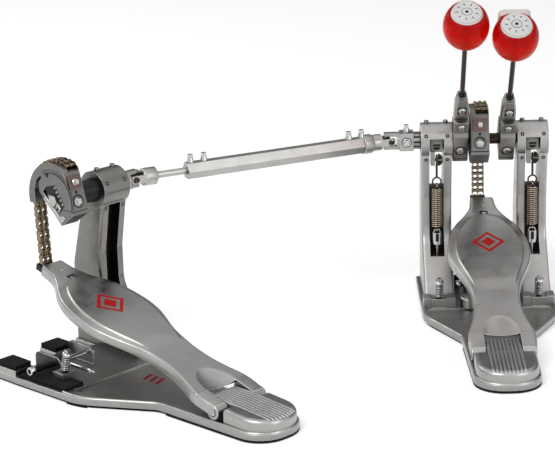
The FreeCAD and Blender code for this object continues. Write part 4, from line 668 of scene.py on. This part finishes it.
def heel_rib(x):
    """The rings of a rib at a place across the plate, from the hinge to the round end."""
    reach = max(0.0, abs(x) - (HEEL_HALF - HEEL_ROUND))
    end = HEEL_END + HEEL_ROUND - math.sqrt((HEEL_ROUND - RIB_INSET) ** 2 - reach ** 2)
    rings = []
    for y, share in RIB_FRONT + tuple((end + y, share) for y, share in RIB_REAR):
        low = HEEL_TOP + heel_rise(y) - (RIB_DIP if share < 0 else 0)
        tall, half = max(0.1, RIB_TALL * share), RIB_HALF * (0.75 if share <= 0 else 1)
        rings.append([(x + half * across, y, low + tall * up - (0 if up else RIB_ROOT))
                      for across, up in RIB_SECTION])
    return rings


for unit in UNITS:
    own, body, plate = UNIT[unit] @ shift(y=BOARD_AT[1]), unit + "_frame", unit + "_heel_plate"
    block, tread, ribs = Shape(), Shape(), Shape()
    block.loft([heel_ring(*ring) for ring in HEEL_RINGS], own)
    block.block((35, 36, TONGUE_TOP - HEEL_LOW), (0, 2.8, (TONGUE_TOP + HEEL_LOW) / 2), own, 0.8)
    tread.loft([heel_ring(*ring) for ring in TREAD_RINGS], own)
    tread.block((34.4, 34, 0.4), (0, 3, TONGUE_TOP + 0.05), own, 0.1)
    for k in range(RIB_COUNT):
        ribs.loft(heel_rib(RIB_PITCH * (k - RIB_COUNT // 2)), own)
    piece(unit + "_heel_block", block, "cast", body, plate)
    piece(unit + "_heel_tread", tread, "graphite", body, plate)
    piece(unit + "_heel_ribs", ribs, "ribs", body, plate)


# Edges of the base plates: a bead on top and a rubber rim below.

BASE_HALF, NECK_HALF, TAIL_HALF = 72, 36.5, 33
BASE_START, SHOULDER_Y, NECK_Y, TAIL_Y = -54, -96, -164, BOARD_AT[1] - 66.2
SHOULDER_R, NECK_R, TAIL_R = 60, 20, 30
BEAD_R, BEAD_INSET, BEAD_Z = 2.5, 2.7, 8.3
FOOT_R, FOOT_INSET, FOOT_Z, FOOT_START = 1.1, 1.03, 1.15, -176
LEFT_EDGE = {"main": (BASE_HALF, BASE_START), "slave": (78, -72)}  # half width and start of the bead


def bend(corners, radii, steps=14):
    """A path through corners in a plane, each rounded by its radius."""
    path = []
    for k, corner in enumerate(corners):
        here = Vector(corner)
        if k in (0, len(corners) - 1):
            path.append(here)
            continue
        before, after = ((Vector(corners[j]) - here).normalized() for j in (k - 1, k + 1))
        half = before.angle(after) / 2
        reach = radii[k] / math.tan(half)
        middle = here + (before + after).normalized() * (radii[k] / math.sin(half))
        start, end = here + before * reach - middle, here + after * reach - middle
        whole = start.angle_signed(end)
        for j in range(steps + 1):
            path.append(middle + Matrix.Rotation(-whole * j / steps, 2) @ start)
    return path


def base_tail(start, inset):
    """The corners of the base's rear end, from a start at its right to its left."""
    right = [(NECK_HALF - inset, start), (TAIL_HALF - inset, TAIL_Y + inset)]
    return right + [(-x, y) for x, y in reversed(right)]


for unit, (left_half, left_start) in LEFT_EDGE.items():
    right, left, inset = BASE_HALF - BEAD_INSET, BEAD_INSET - left_half, BEAD_INSET
    corners = [(right, BASE_START), (right, SHOULDER_Y), *base_tail(NECK_Y, inset), (left, SHOULDER_Y),
               (left, left_start)]
    radii = [0, SHOULDER_R - inset, NECK_R + inset, TAIL_R - inset]
    edge = bend(corners, radii + radii[::-1])
    bead = Shape().tube([(*point, BEAD_Z) for point in edge], BEAD_R, UNIT[unit], 14)
    radii = (0, TAIL_R - FOOT_INSET, TAIL_R - FOOT_INSET, 0)
    tail = bend(base_tail(FOOT_START, FOOT_INSET), radii)
    foot = Shape().tube([(*point, FOOT_Z) for point in tail], FOOT_R, UNIT[unit], 8)
    if unit == "slave":
        left = FOOT_INSET - left_half
        corners = [(left, -38), (left, SHOULDER_Y), (FOOT_INSET - NECK_HALF, NECK_Y)]
        edge = bend(corners, (0, SHOULDER_R - FOOT_INSET, 0), 20)[1:17]
        for start, end in zip(edge, edge[1:]):
            lean = math.degrees(math.atan2(end.y - start.y, end.x - start.x))
            place = UNIT[unit] @ shift(*(start + end) / 2) @ turn("Z", lean)
            foot.block((1.7, 2.4, 2.8), (0, 0, 1.45), place, 0.3)
    piece(unit + "_base_bead", bead, "cast", unit + "_frame")
    piece(unit + "_foot_rim", foot, "rubber", unit + "_frame")


# Beaters: caps, stems, balls and pads, and the hubs with their collars and key screws.

CAP_Z, TICK_COUNT, PAD_SEAT = 18.5, 9, 17.05
CAP = ((0, -0.5), (16.2, -0.5), (16.4, 0.2), (15.9, 1), (15.4, 1.4), (15.3, 2.6), (14.9, 3.2), (14.2, 3.4),
       (13.2, 3.4), (13, 3), (12.5, 3), (12.3, 3.35), (0, 3.4))
CAP_BOSS = ((0, 3.3), (1.9, 3.3), (1.7, 3.6), (0, 3.65))
STEM_R, STEM_LOW, STEM_IN_HEAD = 2.6, 32, 15
BALL = ((2.6, -24), (5, -24), (9.6, -22.6), (13.8, -20.2), (17.4, -16.8), (20.4, -12.6), (22.6, -7.6),
        (23.7, -2.4), (23.9, 2.6), (23.5, 7), (22.5, 11.2), (21, 14.8), (19.6, 17.2), (18.8, 18.2),
        (18, 18.5), (16.9, 18.4), (16.6, 17.8), (2.6, 17.8))
ROUND_PAD = ((0, 0), (15.6, 0), (16.4, 0.9), (16.7, 2.6), (16.5, 4.8), (15.4, 6.8), (12.5, 8.1), (7, 8.8),
             (0, 9))
COLLAR = ((2.4, -1), (4.5, -1), (4.4, 0.6), (3.7, 1.6), (3.5, 2.2), (2.4, 2.3))
# Level, half width, rear and front of a hub.
HUB_RINGS = ((-18, 7.3, -15.6, 12.6), (-17.2, 7.9, -16.5, 13.5), (-15.6, 8.2, -17, 14), (20.4, 8.2, -17, 14),
             (21.4, 8.1, -16.5, 13.5), (26, 7.9, -9, 8.6), (27, 7.8, -8, 8), (57, 7, -8, 8),
             (60.5, 6.2, -7.6, 7.6), (69, 4.6, -6.2, 6.2), (69.5, 4.2, -5.8, 5.8))
HUB_RIDGE = ((-6.2, 44), (6.2, 44), (4.4, 69.2), (-4.4, 69.2))
HUB_CLAMP, HUB_PLATE = rounded(15.6, 14.5, 0.8, 2), rounded(9.8, 10.4, 0.7, 2)
# Rear face and level of a key screw, radius of its flare, rise and side of its key.
HUB_KEYS = ((-13.5, 32.6, 3.7, 3.2, 4.2), (-9.1, 53.8, 3.9, 3, 4.4), (-16.6, -0.05, 4.5, 2.4, 4.8))
# Rear face and level of a round black line that paints the shade at a recess's rim, its radius and half its
# width.
HUB_LINES = ((-17.05, -0.05, 6.3, 0.42), (-17.05, -0.05, 4.9, 0.3), (-13.65, 32.6, 4, 0.4),
             (-9.2, 53.8, 4.2, 0.4))
for side in SIDES:
    body, drive, own, head_z = side + "_beater", DRIVER[side], BEATER[side], HEAD_AT[side]
    top = own @ shift(z=head_z + CAP_Z)
    cap, marks = Shape().lathe(CAP, top, 48), Shape().lathe(CAP_BOSS, top, 16)
    for k in range(TICK_COUNT):
        spoke = top @ turn("Z", 360 / TICK_COUNT * k + 12)
        marks.block((0.9, 2.8, 0.2), (0, 10.2, 3.42), spoke, 0.05)
    ring_line(marks, top @ shift(z=3.36), radius=5.2, wire=0.28)
    stem_top = head_z + STEM_IN_HEAD
    stem = Shape().lathe([(0, STEM_LOW), (STEM_R - 0.1, STEM_LOW), (STEM_R, STEM_LOW + 1), (STEM_R, stem_top),
                          (0, stem_top)], own, 24)
    ball = Shape().lathe(BALL, steps=72)
    for vert in ball.mesh.verts:
        vert.co.y = min(vert.co.y, PAD_SEAT)
    ball.move(own @ shift(z=head_z))
    seat = own @ shift(0, PAD_SEAT, head_z) @ turn("X", -90)
    if side == "left":
        pad = Shape().lathe(ROUND_PAD, seat, 48)
    else:
        pad = Shape().prism(rounded(33, 32, 6), low=0, high=7.6, place=seat, bevel=1.6, segments=3)
    piece(body + "_disc", cap, "white", body, body + "_cap")
    piece(body + "_ticks", marks, "black", body)
    piece(body + "_stem", stem, "dark", body, body + "_rod")
    piece(body + "_ball", ball, "red_" + side, body, body + "_head")
    felt_pad = piece(body + "_felt", pad, "felt", body, body + "_pad")

    collar, hub, heads = Shape().lathe(COLLAR, own @ shift(z=69.5), 28), Shape(), Shape()
    hub.loft([[(x, y + (front + rear) / 2, level) for x, y in rounded(half * 2, front - rear, 1.1, 3)]
              for level, half, rear, front in HUB_RINGS], own)
    hub.prism(HUB_RIDGE, 0, 2.2, own @ shift(y=-6.6) @ REAR, bevel=0.6)
    clamp = Shape().prism(HUB_CLAMP, 0, 5.6, own @ shift(0, -8, 32.2) @ REAR, bevel=0.5)
    plate = Shape().prism(HUB_PLATE, 0, 0.35, own @ shift(0, -8.8, 53.6) @ REAR, bevel=0.1)
    # A black block paints the shade in the slit below the hub.
    lines = Shape().block((16.5, 8.2, 0.9), (0, -13, -12.95), own, 0.1)
    for rear, level, radius, rise, key in HUB_KEYS:
        face = own @ shift(0, rear, level) @ REAR
        key_head(heads, face, radius, rise, key)
        for angle in (45, 135):
            lines.block((0.9 * key, 0.6, 0.3), (0, 0, 0), face @ shift(z=rise) @ turn("Z", angle), 0.08)
    for rear, level, radius, wire in HUB_LINES:
        ring_line(lines, own @ shift(0, rear, level) @ REAR, radius, wire)
    piece(side + "_hub_collar", collar, "black", drive)
    piece(side + "_hub_body", hub, "alloy", drive, body + "_hub")
    for name, shape, kind in (("clamp", clamp, "alloy"), ("plate", plate, "dark"), ("keys", heads, "bright"),
                              ("lines", lines, "black")):
        piece(side + "_hub_" + name, shape, kind, drive)


# Cams: end plate, key screws and black lines; the left face with its groove, toothed window and notch in
# painted shade, and a lighter strip that paints the highlight of a chamfer.

CAM_FACE = shift(-6, -30, -10) @ turn("X", -math.degrees(math.atan(0.3)))
CAM_LEFT = -16.05
CAM_PLATE = rounded(15, 13.5, 0.8, 2)
CAM_WINDOW = ((11.2, 12.5), (-3.3, 16.4), (-16.6, -2.4), (-8.3, -12.2), (9.2, 4))
CAM_NOTCH = ((5.6, 27), (6.4, 22.6), (10.4, 23), (10, 27.4))
CAM_CHAMFER_HIGHLIGHT = ((15.2, -0.4), (11.6, 2.8), (-8.2, -15.2), (-14.6, -13.6), (-17.2, -15.6), (-10.8, -22.2))
TOOTH_ROWS = ((CAM_WINDOW[2], CAM_WINDOW[1]), (CAM_WINDOW[4], CAM_WINDOW[3]))
TOOTH_COUNT, TOOTH_FOOT, TOOTH_TIP, TOOTH_REACH = 5, 1.3, 0.9, 3
CAM_BARS = ((-1.2, 1.4), (-5, -2), (-8.8, -5.2))
for unit in UNITS:
    face, drive = SHAFT[unit] @ CAM_FACE, unit + "_drive"
    flat = SHAFT[unit] @ shift(CAM_LEFT) @ LEFT_ON
    teeth, heads, lines = Shape(), Shape(), Shape()
    plate = Shape().prism(CAM_PLATE, 0, 1.3, face @ shift(0.5, 0, 32) @ REAR, bevel=0.3)
    # A raised strip of lighter metal paints the highlight of a chamfer.
    strip = Shape().prism(CAM_CHAMFER_HIGHLIGHT, 0, 0.5, flat, bevel=0.3)
    key_head(heads, face @ shift(0.5, -1.4, 32) @ REAR, radius=3.6, rise=3.4, side=4.2)
    key_head(heads, face @ shift(0, 0.6, 12.5) @ REAR, radius=4.5, rise=2.6, side=4.8)
    for spot in CAM_BARS:
        heads.block((2.6, 5.4, 0.5), (0, 0, 0.25), flat @ shift(*spot) @ turn("Z", -38), 0.15)
    # The black marks paint shade: a small square, rings round the lower screw, the arcs of the groove, the
    # window and the notch.
    lines.block((2.6, 2.6, 0.3), (0, 0, 0.1), face @ shift(z=22) @ REAR, 0.1)
    ring_line(lines, face @ shift(0, -0.1, 12.5) @ REAR, radius=5.9, wire=0.4)
    ring_line(lines, face @ shift(0, -0.1, 13.2) @ REAR, radius=5.6, wire=0.75, start=25, end=155)
    ring_line(lines, flat, radius=31, wire=0.3, start=60, end=196)
    ring_line(lines, flat, radius=28.2, wire=0.55, start=62, end=192)
    for outline in (CAM_WINDOW, CAM_NOTCH):
        lines.prism(outline, 0, 0.12, flat)
    for start, end in TOOTH_ROWS:
        way = Vector(end) - Vector(start)
        along, inward = way.normalized(), Vector((way.y, -way.x)).normalized() * TOOTH_REACH
        for k in range(TOOTH_COUNT):
            foot = Vector(start) + way * ((k + 0.5) / TOOTH_COUNT)
            outline = [foot - along * TOOTH_FOOT, foot + along * TOOTH_FOOT,
                       foot + along * TOOTH_TIP + inward, foot - along * TOOTH_TIP + inward]
            teeth.prism(outline, 0.05, 0.4, flat, bevel=0.1, segments=1)
    for name, shape, kind in (("teeth", teeth, "alloy"), ("strip", strip, "cast"), ("plate", plate, "brown"),
                              ("keys", heads, "bright"), ("lines", lines, "black")):
        piece(unit + "_cam_" + name, shape, kind, drive)


# Posts: sunk screws in barrel and leg, with painted shade in their recesses, and a dark sheet on the floor of
# the slot that paints its shade.

POSTS = (("main", "left"), ("main", "right"), ("slave", "right"))
HOLE_X, BARREL_R, BARREL_TURN, SLOT_HALF = 11.4, 19.02, 64, 7.6
LEG_Y, LEG_DROP, LEG_TURN = -12.74, 19, 99.9
SLOT_SHADE_OUTLINE = {"main": ((18, 51.2), (20, 117), (27.8, 117.8), (27.8, 51.2)),
              "slave": ((9, 51.2), (5, 118), (1, 150), (0, 166), (13.8, 166), (13.8, 118.3), (27.8, 117.8),
                        (27.8, 51.2))}
for unit, side in POSTS:
    dark, bright, own = Shape(), Shape(), UNIT[unit] @ shift(SIGN[side] * POST_X)
    for x in (-HOLE_X, HOLE_X):
        barrel = own @ shift(x, 0, SHAFT_Z) @ turn("X", BARREL_TURN) @ shift(z=BARREL_R)
        hole(dark, bright, barrel, radius=2.1)
        hole(dark, bright, own @ shift(x, LEG_Y, SHAFT_Z - LEG_DROP) @ turn("X", LEG_TURN), radius=2)
    # A dark sheet on the slot's floor: painted shade.
    slot_shade_sheet = Shape().prism(SLOT_SHADE_OUTLINE[unit], -SLOT_HALF, SLOT_HALF, own @ SIDE_ON, 0.3)
    name = unit + "_" + side
    piece(name + "_post_holes", dark, "black", unit + "_frame")
    piece(name + "_post_screws", bright, "bright", unit + "_frame")
    piece(name + "_slot_painted_shade", slot_shade_sheet, "dark", unit + "_frame")


# Main base: slots and threads of the spring anchors, pads beside the spurs, a knob and a stop.

THREAD, THREAD_LOW, THREAD_PITCH, THREAD_COUNT = ((1.9, 0), (2.12, 0), (2.12, 0.5), (1.9, 0.5)), 53, 2.1, 4
SPUR_PADS = ((36, 44.6), (61.4, 70))
KNOB = ((0, 19.4), (4.6, 19.4), (5, 18.8), (5.8, 18.8), (6.2, 19.6), (8.4, 19.6), (9.4, 18.6), (9.4, 8.8),
        (0, 8.8))
slots, pads = Shape(), Shape()
for sign in SIGN.values():
    # A black block paints the shade inside each anchor's slot.
    slots.block((3.4, 0.8, 8.5), at=(sign * POST_X, -16.7, 70.4), bevel=0.2)
    for k in range(THREAD_COUNT):
        slots.lathe(THREAD, shift(sign * POST_X, SPRING_Y, THREAD_LOW + THREAD_PITCH * k), 20)
    for near, far in SPUR_PADS:
        pads.block((far - near, 17, 10.6), at=(sign * (near + far) / 2, -62.8, 14.2), bevel=0.9)
piece("anchor_slots", slots, "black", "main_frame")
piece("main_spur_pads", pads, "cast", "main_frame")
piece("main_base_knob", Shape().lathe(KNOB, shift(-21, -67), 40), "cast", "main_frame")
stop = Shape().block((8.6, 8, 11), at=(-30.6, 3, 14.5), bevel=0.8)
piece("main_base_stop", stop, "rubber", "main_frame")


# Rockers: the two visible parts of a black screw, which stay clear of the post, and the swivel's half disc.

ROCKER_SCREW_R, ROCKER_SCREW_RISE, ROCKER_ARCS = 4.2, 0.07, ((-1, 181), (190, 350))
HALF_DISC_X, HALF_DISC_THICK = 1.3, 1.7
HALF_DISC = [(HALF_DISC_X, -6.3), *((HALF_DISC_X + polar(5.4, angle)[0], polar(6.5, angle)[1])
                                    for angle in range(-80, 81, 10)), (HALF_DISC_X, 6.3)]
for side in SIDES:
    own, dark = SHAFT["main"] @ shift(SIGN[side] * POST_X), Shape()
    for start, end in ROCKER_ARCS:
        arc = [polar(ROCKER_SCREW_R, start + (end - start) * k / 16) for k in range(17)]
        dark.prism(arc, 0, ROCKER_SCREW_RISE, own @ shift(0, -12.5, -4.2) @ REAR)
    dark.prism(HALF_DISC, -HALF_DISC_THICK, HALF_DISC_THICK, own @ shift(0, -12, -19) @ REAR, 0.4)
    piece(side + "_swivel_black", dark, "black", DRIVER[side])


# Hoop clamps: black block and key shaft, bright rod, pin and socket.

CLAMPS = (("main", -22.498, 4), ("slave", -47, 26))  # left end of the lever and length of its key
CLAMP_Y, CLAMP_Z, CLAMP_PIN_X = -26, 20, 8.5
CLAMP_BLOCK = rounded(13, 14.5, 2.2, 4)
CLAMP_BOSS = ((0, 0), (3.4, 0), (3.4, 3), (2.9, 5), (0, 5))
CLAMP_ROD = ((0, -0.2), (2.4, -0.2), (2.4, 0.4), (2.5, 0.6), (2.5, 44.6), (2.1, 45), (0, 45))
CLAMP_PIN = ((0, 9), (2, 9), (2, 40), (2.35, 40.6), (2.35, 44.5), (1.6, 45.2), (1.1, 45.6), (1.1, 50),
             (0.6, 50.6), (0, 50.6))
# Heights of the key as shares of its length.
CLAMP_KEY = ((0, 0), (3, 0), (3, 0.3), (2.6, 0.34), (2.6, 0.6), (3, 0.64), (3, 1), (0, 1))
CLAMP_SOCKET = ((0, 0), (3.7, 0), (4.2, 0.6), (4.2, 5.2), (3.8, 6), (2.6, 6), (2.4, 3), (0, 3))
for unit, left, length in CLAMPS:
    lever, screw = unit + "_clamp_lever", unit + "_clamp_screw"
    own = UNIT[unit] @ shift(left, CLAMP_Y, CLAMP_Z)
    outward = own @ shift(-0.5) @ turn("Y", -90)
    block = Shape().prism(CLAMP_BLOCK, 3.6, 13.4, own @ ALONG_X, bevel=0.7)
    block.lathe(CLAMP_BOSS, own @ shift(CLAMP_PIN_X, -6) @ REAR, 24)
    rod = Shape().lathe(CLAMP_ROD, own @ ALONG_X, 24).lathe(CLAMP_PIN, own @ shift(CLAMP_PIN_X) @ REAR, 20)
    key = Shape().lathe([(radius, length * share) for radius, share in CLAMP_KEY], outward, 24)
    socket = Shape().lathe(CLAMP_SOCKET, outward @ shift(z=length), 24)
    piece(unit + "_clamp_block", block, "black", lever, lever)
    piece(unit + "_clamp_rod", rod, "bright", lever, lever)
    piece(unit + "_clamp_key", key, "black", screw, screw)
    piece(unit + "_clamp_socket", socket, "bright", screw, screw)


# Drive shaft: collar, boss and key screws, the coupler's screws and the black knurled bosses.

TUBE_COLLAR = ((7, -31.5), (9.6, -31.5), (10.4, -30.8), (10.4, -21.5), (9.4, -20), (7, -20))
ROD_BOSS = ((2, 9), (8.4, 9), (9.3, 9.8), (9.3, 23.2), (8.6, 24.2), (2, 24.2))
TUBE_END = ROD_SHOWING - DRIVE_LENGTH
TUBE_KEYS = (-32, -47, TUBE_END + 5, TUBE_END + 20)
COUPLER_X, COUPLER_HALF = SLEEVE_END - 14.5, 9.5
COUPLER_SCREW = ((0, 0), (4.7, 0), (4.7, 1), (4.2, 1.5), (0, 1.6))


def knurled(radius, low, high, place, teeth):
    outline = [polar(radius if k % 2 else 0.92 * radius, 180 * k / teeth) for k in range(teeth * 2)]
    return Shape().prism(outline, low, high, place @ ALONG_X, 0.25, 1)


piece("drive_collar", Shape().lathe(TUBE_COLLAR, DRIVE @ ALONG_X, 40), "pale", "drive_tube")
boss = Shape().lathe(ROD_BOSS, DRIVE @ shift(-DRIVE_LENGTH) @ ALONG_X, 40)
piece("drive_rod_boss", boss, "pale", "drive_rod")
keys = Shape()
for x in TUBE_KEYS:
    key_head(keys, DRIVE @ shift(x, 0, 8.1), radius=3.9, rise=8.6, side=4.6)
piece("drive_keys", keys, "bright", "drive_tube", "drive_tube_screws")
own = SHAFT["main"] @ shift(COUPLER_X)
face = own @ shift(y=-COUPLER_HALF) @ REAR
keys, slots = Shape().lathe(COUPLER_SCREW, face, 32), Shape()
key_head(keys, own @ shift(z=COUPLER_HALF), radius=3.9, rise=8, side=4.6)
# Black bars paint the shade in the screw's cross slots.
for angle in (0, 90):
    slots.block((6.6, 1, 0.5), (0, 0, 1.55), face @ turn("Z", angle), 0.1)
ring_line(slots, face @ shift(z=0.1), radius=5.1, wire=0.35)
piece("coupler_keys", keys, "bright", "left_drive")
piece("coupler_slots", slots, "black", "left_drive")
boss = knurled(9.4, SLEEVE_END - 6.8, SLEEVE_END - 0.4, SHAFT["main"], 10)
piece("sleeve_knurl", boss, "black", "left_drive")
piece("slave_knurl", knurled(10.6, 8, 17, SHAFT["slave"], 26), "black", "slave_frame")


# Plain red marks: a lozenge in a ring on each footboard and bars on the slave's base.

MARK_AT, MARK_RISE, MARK_RING, MARK_CORE, MARK_INNER = (0, 187, 8.72), 0.16, (17.5, 19.5), (8, 9), 0.74
for unit in UNITS:
    mark, place = Shape(), BOARD[unit] @ shift(*MARK_AT)
    ring, core = ([(x, 0), (0, y), (-x, 0), (0, -y)] for x, y in (MARK_RING, MARK_CORE))
    for start, end in zip(ring, ring[1:] + ring[:1]):
        inside = [(x * MARK_INNER, y * MARK_INNER) for x, y in (end, start)]
        mark.prism([start, end, *inside], 0, MARK_RISE, place)
    mark.prism(core, 0, MARK_RISE, place)
    piece(unit + "_board_mark", mark, "paint", unit + "_footboard")
bars = Shape()
for y in (-100, -109, -118):
    bars.prism(rounded(16, 4, 1.2, 3), 0, 0.2, UNIT["slave"] @ shift(9, y, 7.4) @ turn("Z", 20))
piece("slave_base_bars", bars, "paint", "slave_frame")


# Studio: floor, light and camera.

WHITE, FLOOR_TONE = (1, 1, 1, 1), (0.86, 0.86, 0.86, 1)
FLOOR_GLOW, FLOOR_REACH, FLOOR_DROP = 0.46, 30.0, 0.0004
AMBIENT, BAND_LEVELS = 0.32, (1.0, 0.2)


def studio_floor():
    g = new_material("studio_floor")
    matt = g.add("BsdfDiffuse", Color=FLOOR_TONE, Roughness=0.6)
    lit = g.add("Emission", Color=WHITE, Strength=g.calc("MULTIPLY", g.seen(), FLOOR_GLOW))
    both = g.add("AddShader", {0: matt.outputs[0], 1: lit.outputs[0]})
    mesh = bpy.data.meshes.new("studio_floor")
    far = FLOOR_REACH
    mesh.from_pydata([(-far, -far, 0), (far, -far, 0), (far, far, 0), (-far, far, 0)], [], [(0, 1, 2, 3)])
    mesh.materials.append(g.close(both))
    made = put("studio_floor", mesh)
    made.location.z = -FLOOR_DROP


def studio_world():
    """White all round, with a darker band at the drum's side for the metal to mirror."""
    world = bpy.data.worlds.new("studio")
    bpy.context.scene.world = world
    g = Graph(world)
    way = g.add("SeparateXYZ", Vector=g.place["Generated"]).outputs
    above = g.span(way["Z"], of=(0.02, 0.14), smooth=True)
    below = g.span(way["Z"], to=(1, 0.12), of=(0.45, 0.85), smooth=True)
    behind = g.span(way["Y"], of=(-0.25, 0.4), smooth=True)
    band = g.calc("MULTIPLY", g.calc("MULTIPLY", above, below), behind)
    mirrored = g.span(band, to=BAND_LEVELS, of=(0, 1), smooth=True)
    level = g.span(g.seen(), to=(AMBIENT, mirrored), of=(0, 1))
    g.close(g.add("Background", Color=WHITE, Strength=level), "OutputWorld")


def lamp(name, at, aim, size, power):
    light = bpy.data.lights.new(name, "AREA")
    light.shape = "RECTANGLE"
    light.size, light.size_y = size
    light.energy = power
    made = put(name, light)
    made.location = at
    made.rotation_euler = (Vector(aim) - Vector(at)).to_track_quat("-Z", "Y").to_euler()


def studio_camera():
    """The photograph's camera: place in millimetres, turns in radians, reach and middle in pixels."""
    at = Vector((-196.713, -2274.134, 777.505)) * MM
    yaw, pitch, roll = (math.degrees(angle) for angle in (0.00031, -0.29806, -0.02449))
    reach, middle, size = 2187.288, (302.088, 228.916), (555, 449)
    camera = bpy.data.cameras.new("camera")
    camera.lens = reach * camera.sensor_width / size[0]
    camera.shift_x = (size[0] / 2 - middle[0]) / size[0]
    camera.shift_y = (middle[1] - size[1] / 2) / size[0]
    made = put("camera", camera)
    made.matrix_world = shift(*at) @ turn("Z", yaw) @ turn("X", 90 + pitch) @ turn("Z", roll)
    bpy.context.scene.camera = made


studio_floor()
studio_world()
lamp("key", at=(-1.1, -1.5, 1.9), aim=(-0.15, -0.05, 0.1), size=(1.2, 1.2), power=22)
lamp("fill", at=(1.3, -1.4, 1.0), aim=(-0.1, 0, 0.1), size=(1.0, 1.4), power=8)
lamp("rim", at=(-1.6, 0.9, 1.2), aim=(-0.2, 0, 0.1), size=(1.0, 0.8), power=8)
studio_camera()
bpy.context.scene.view_settings.view_transform = "Standard"
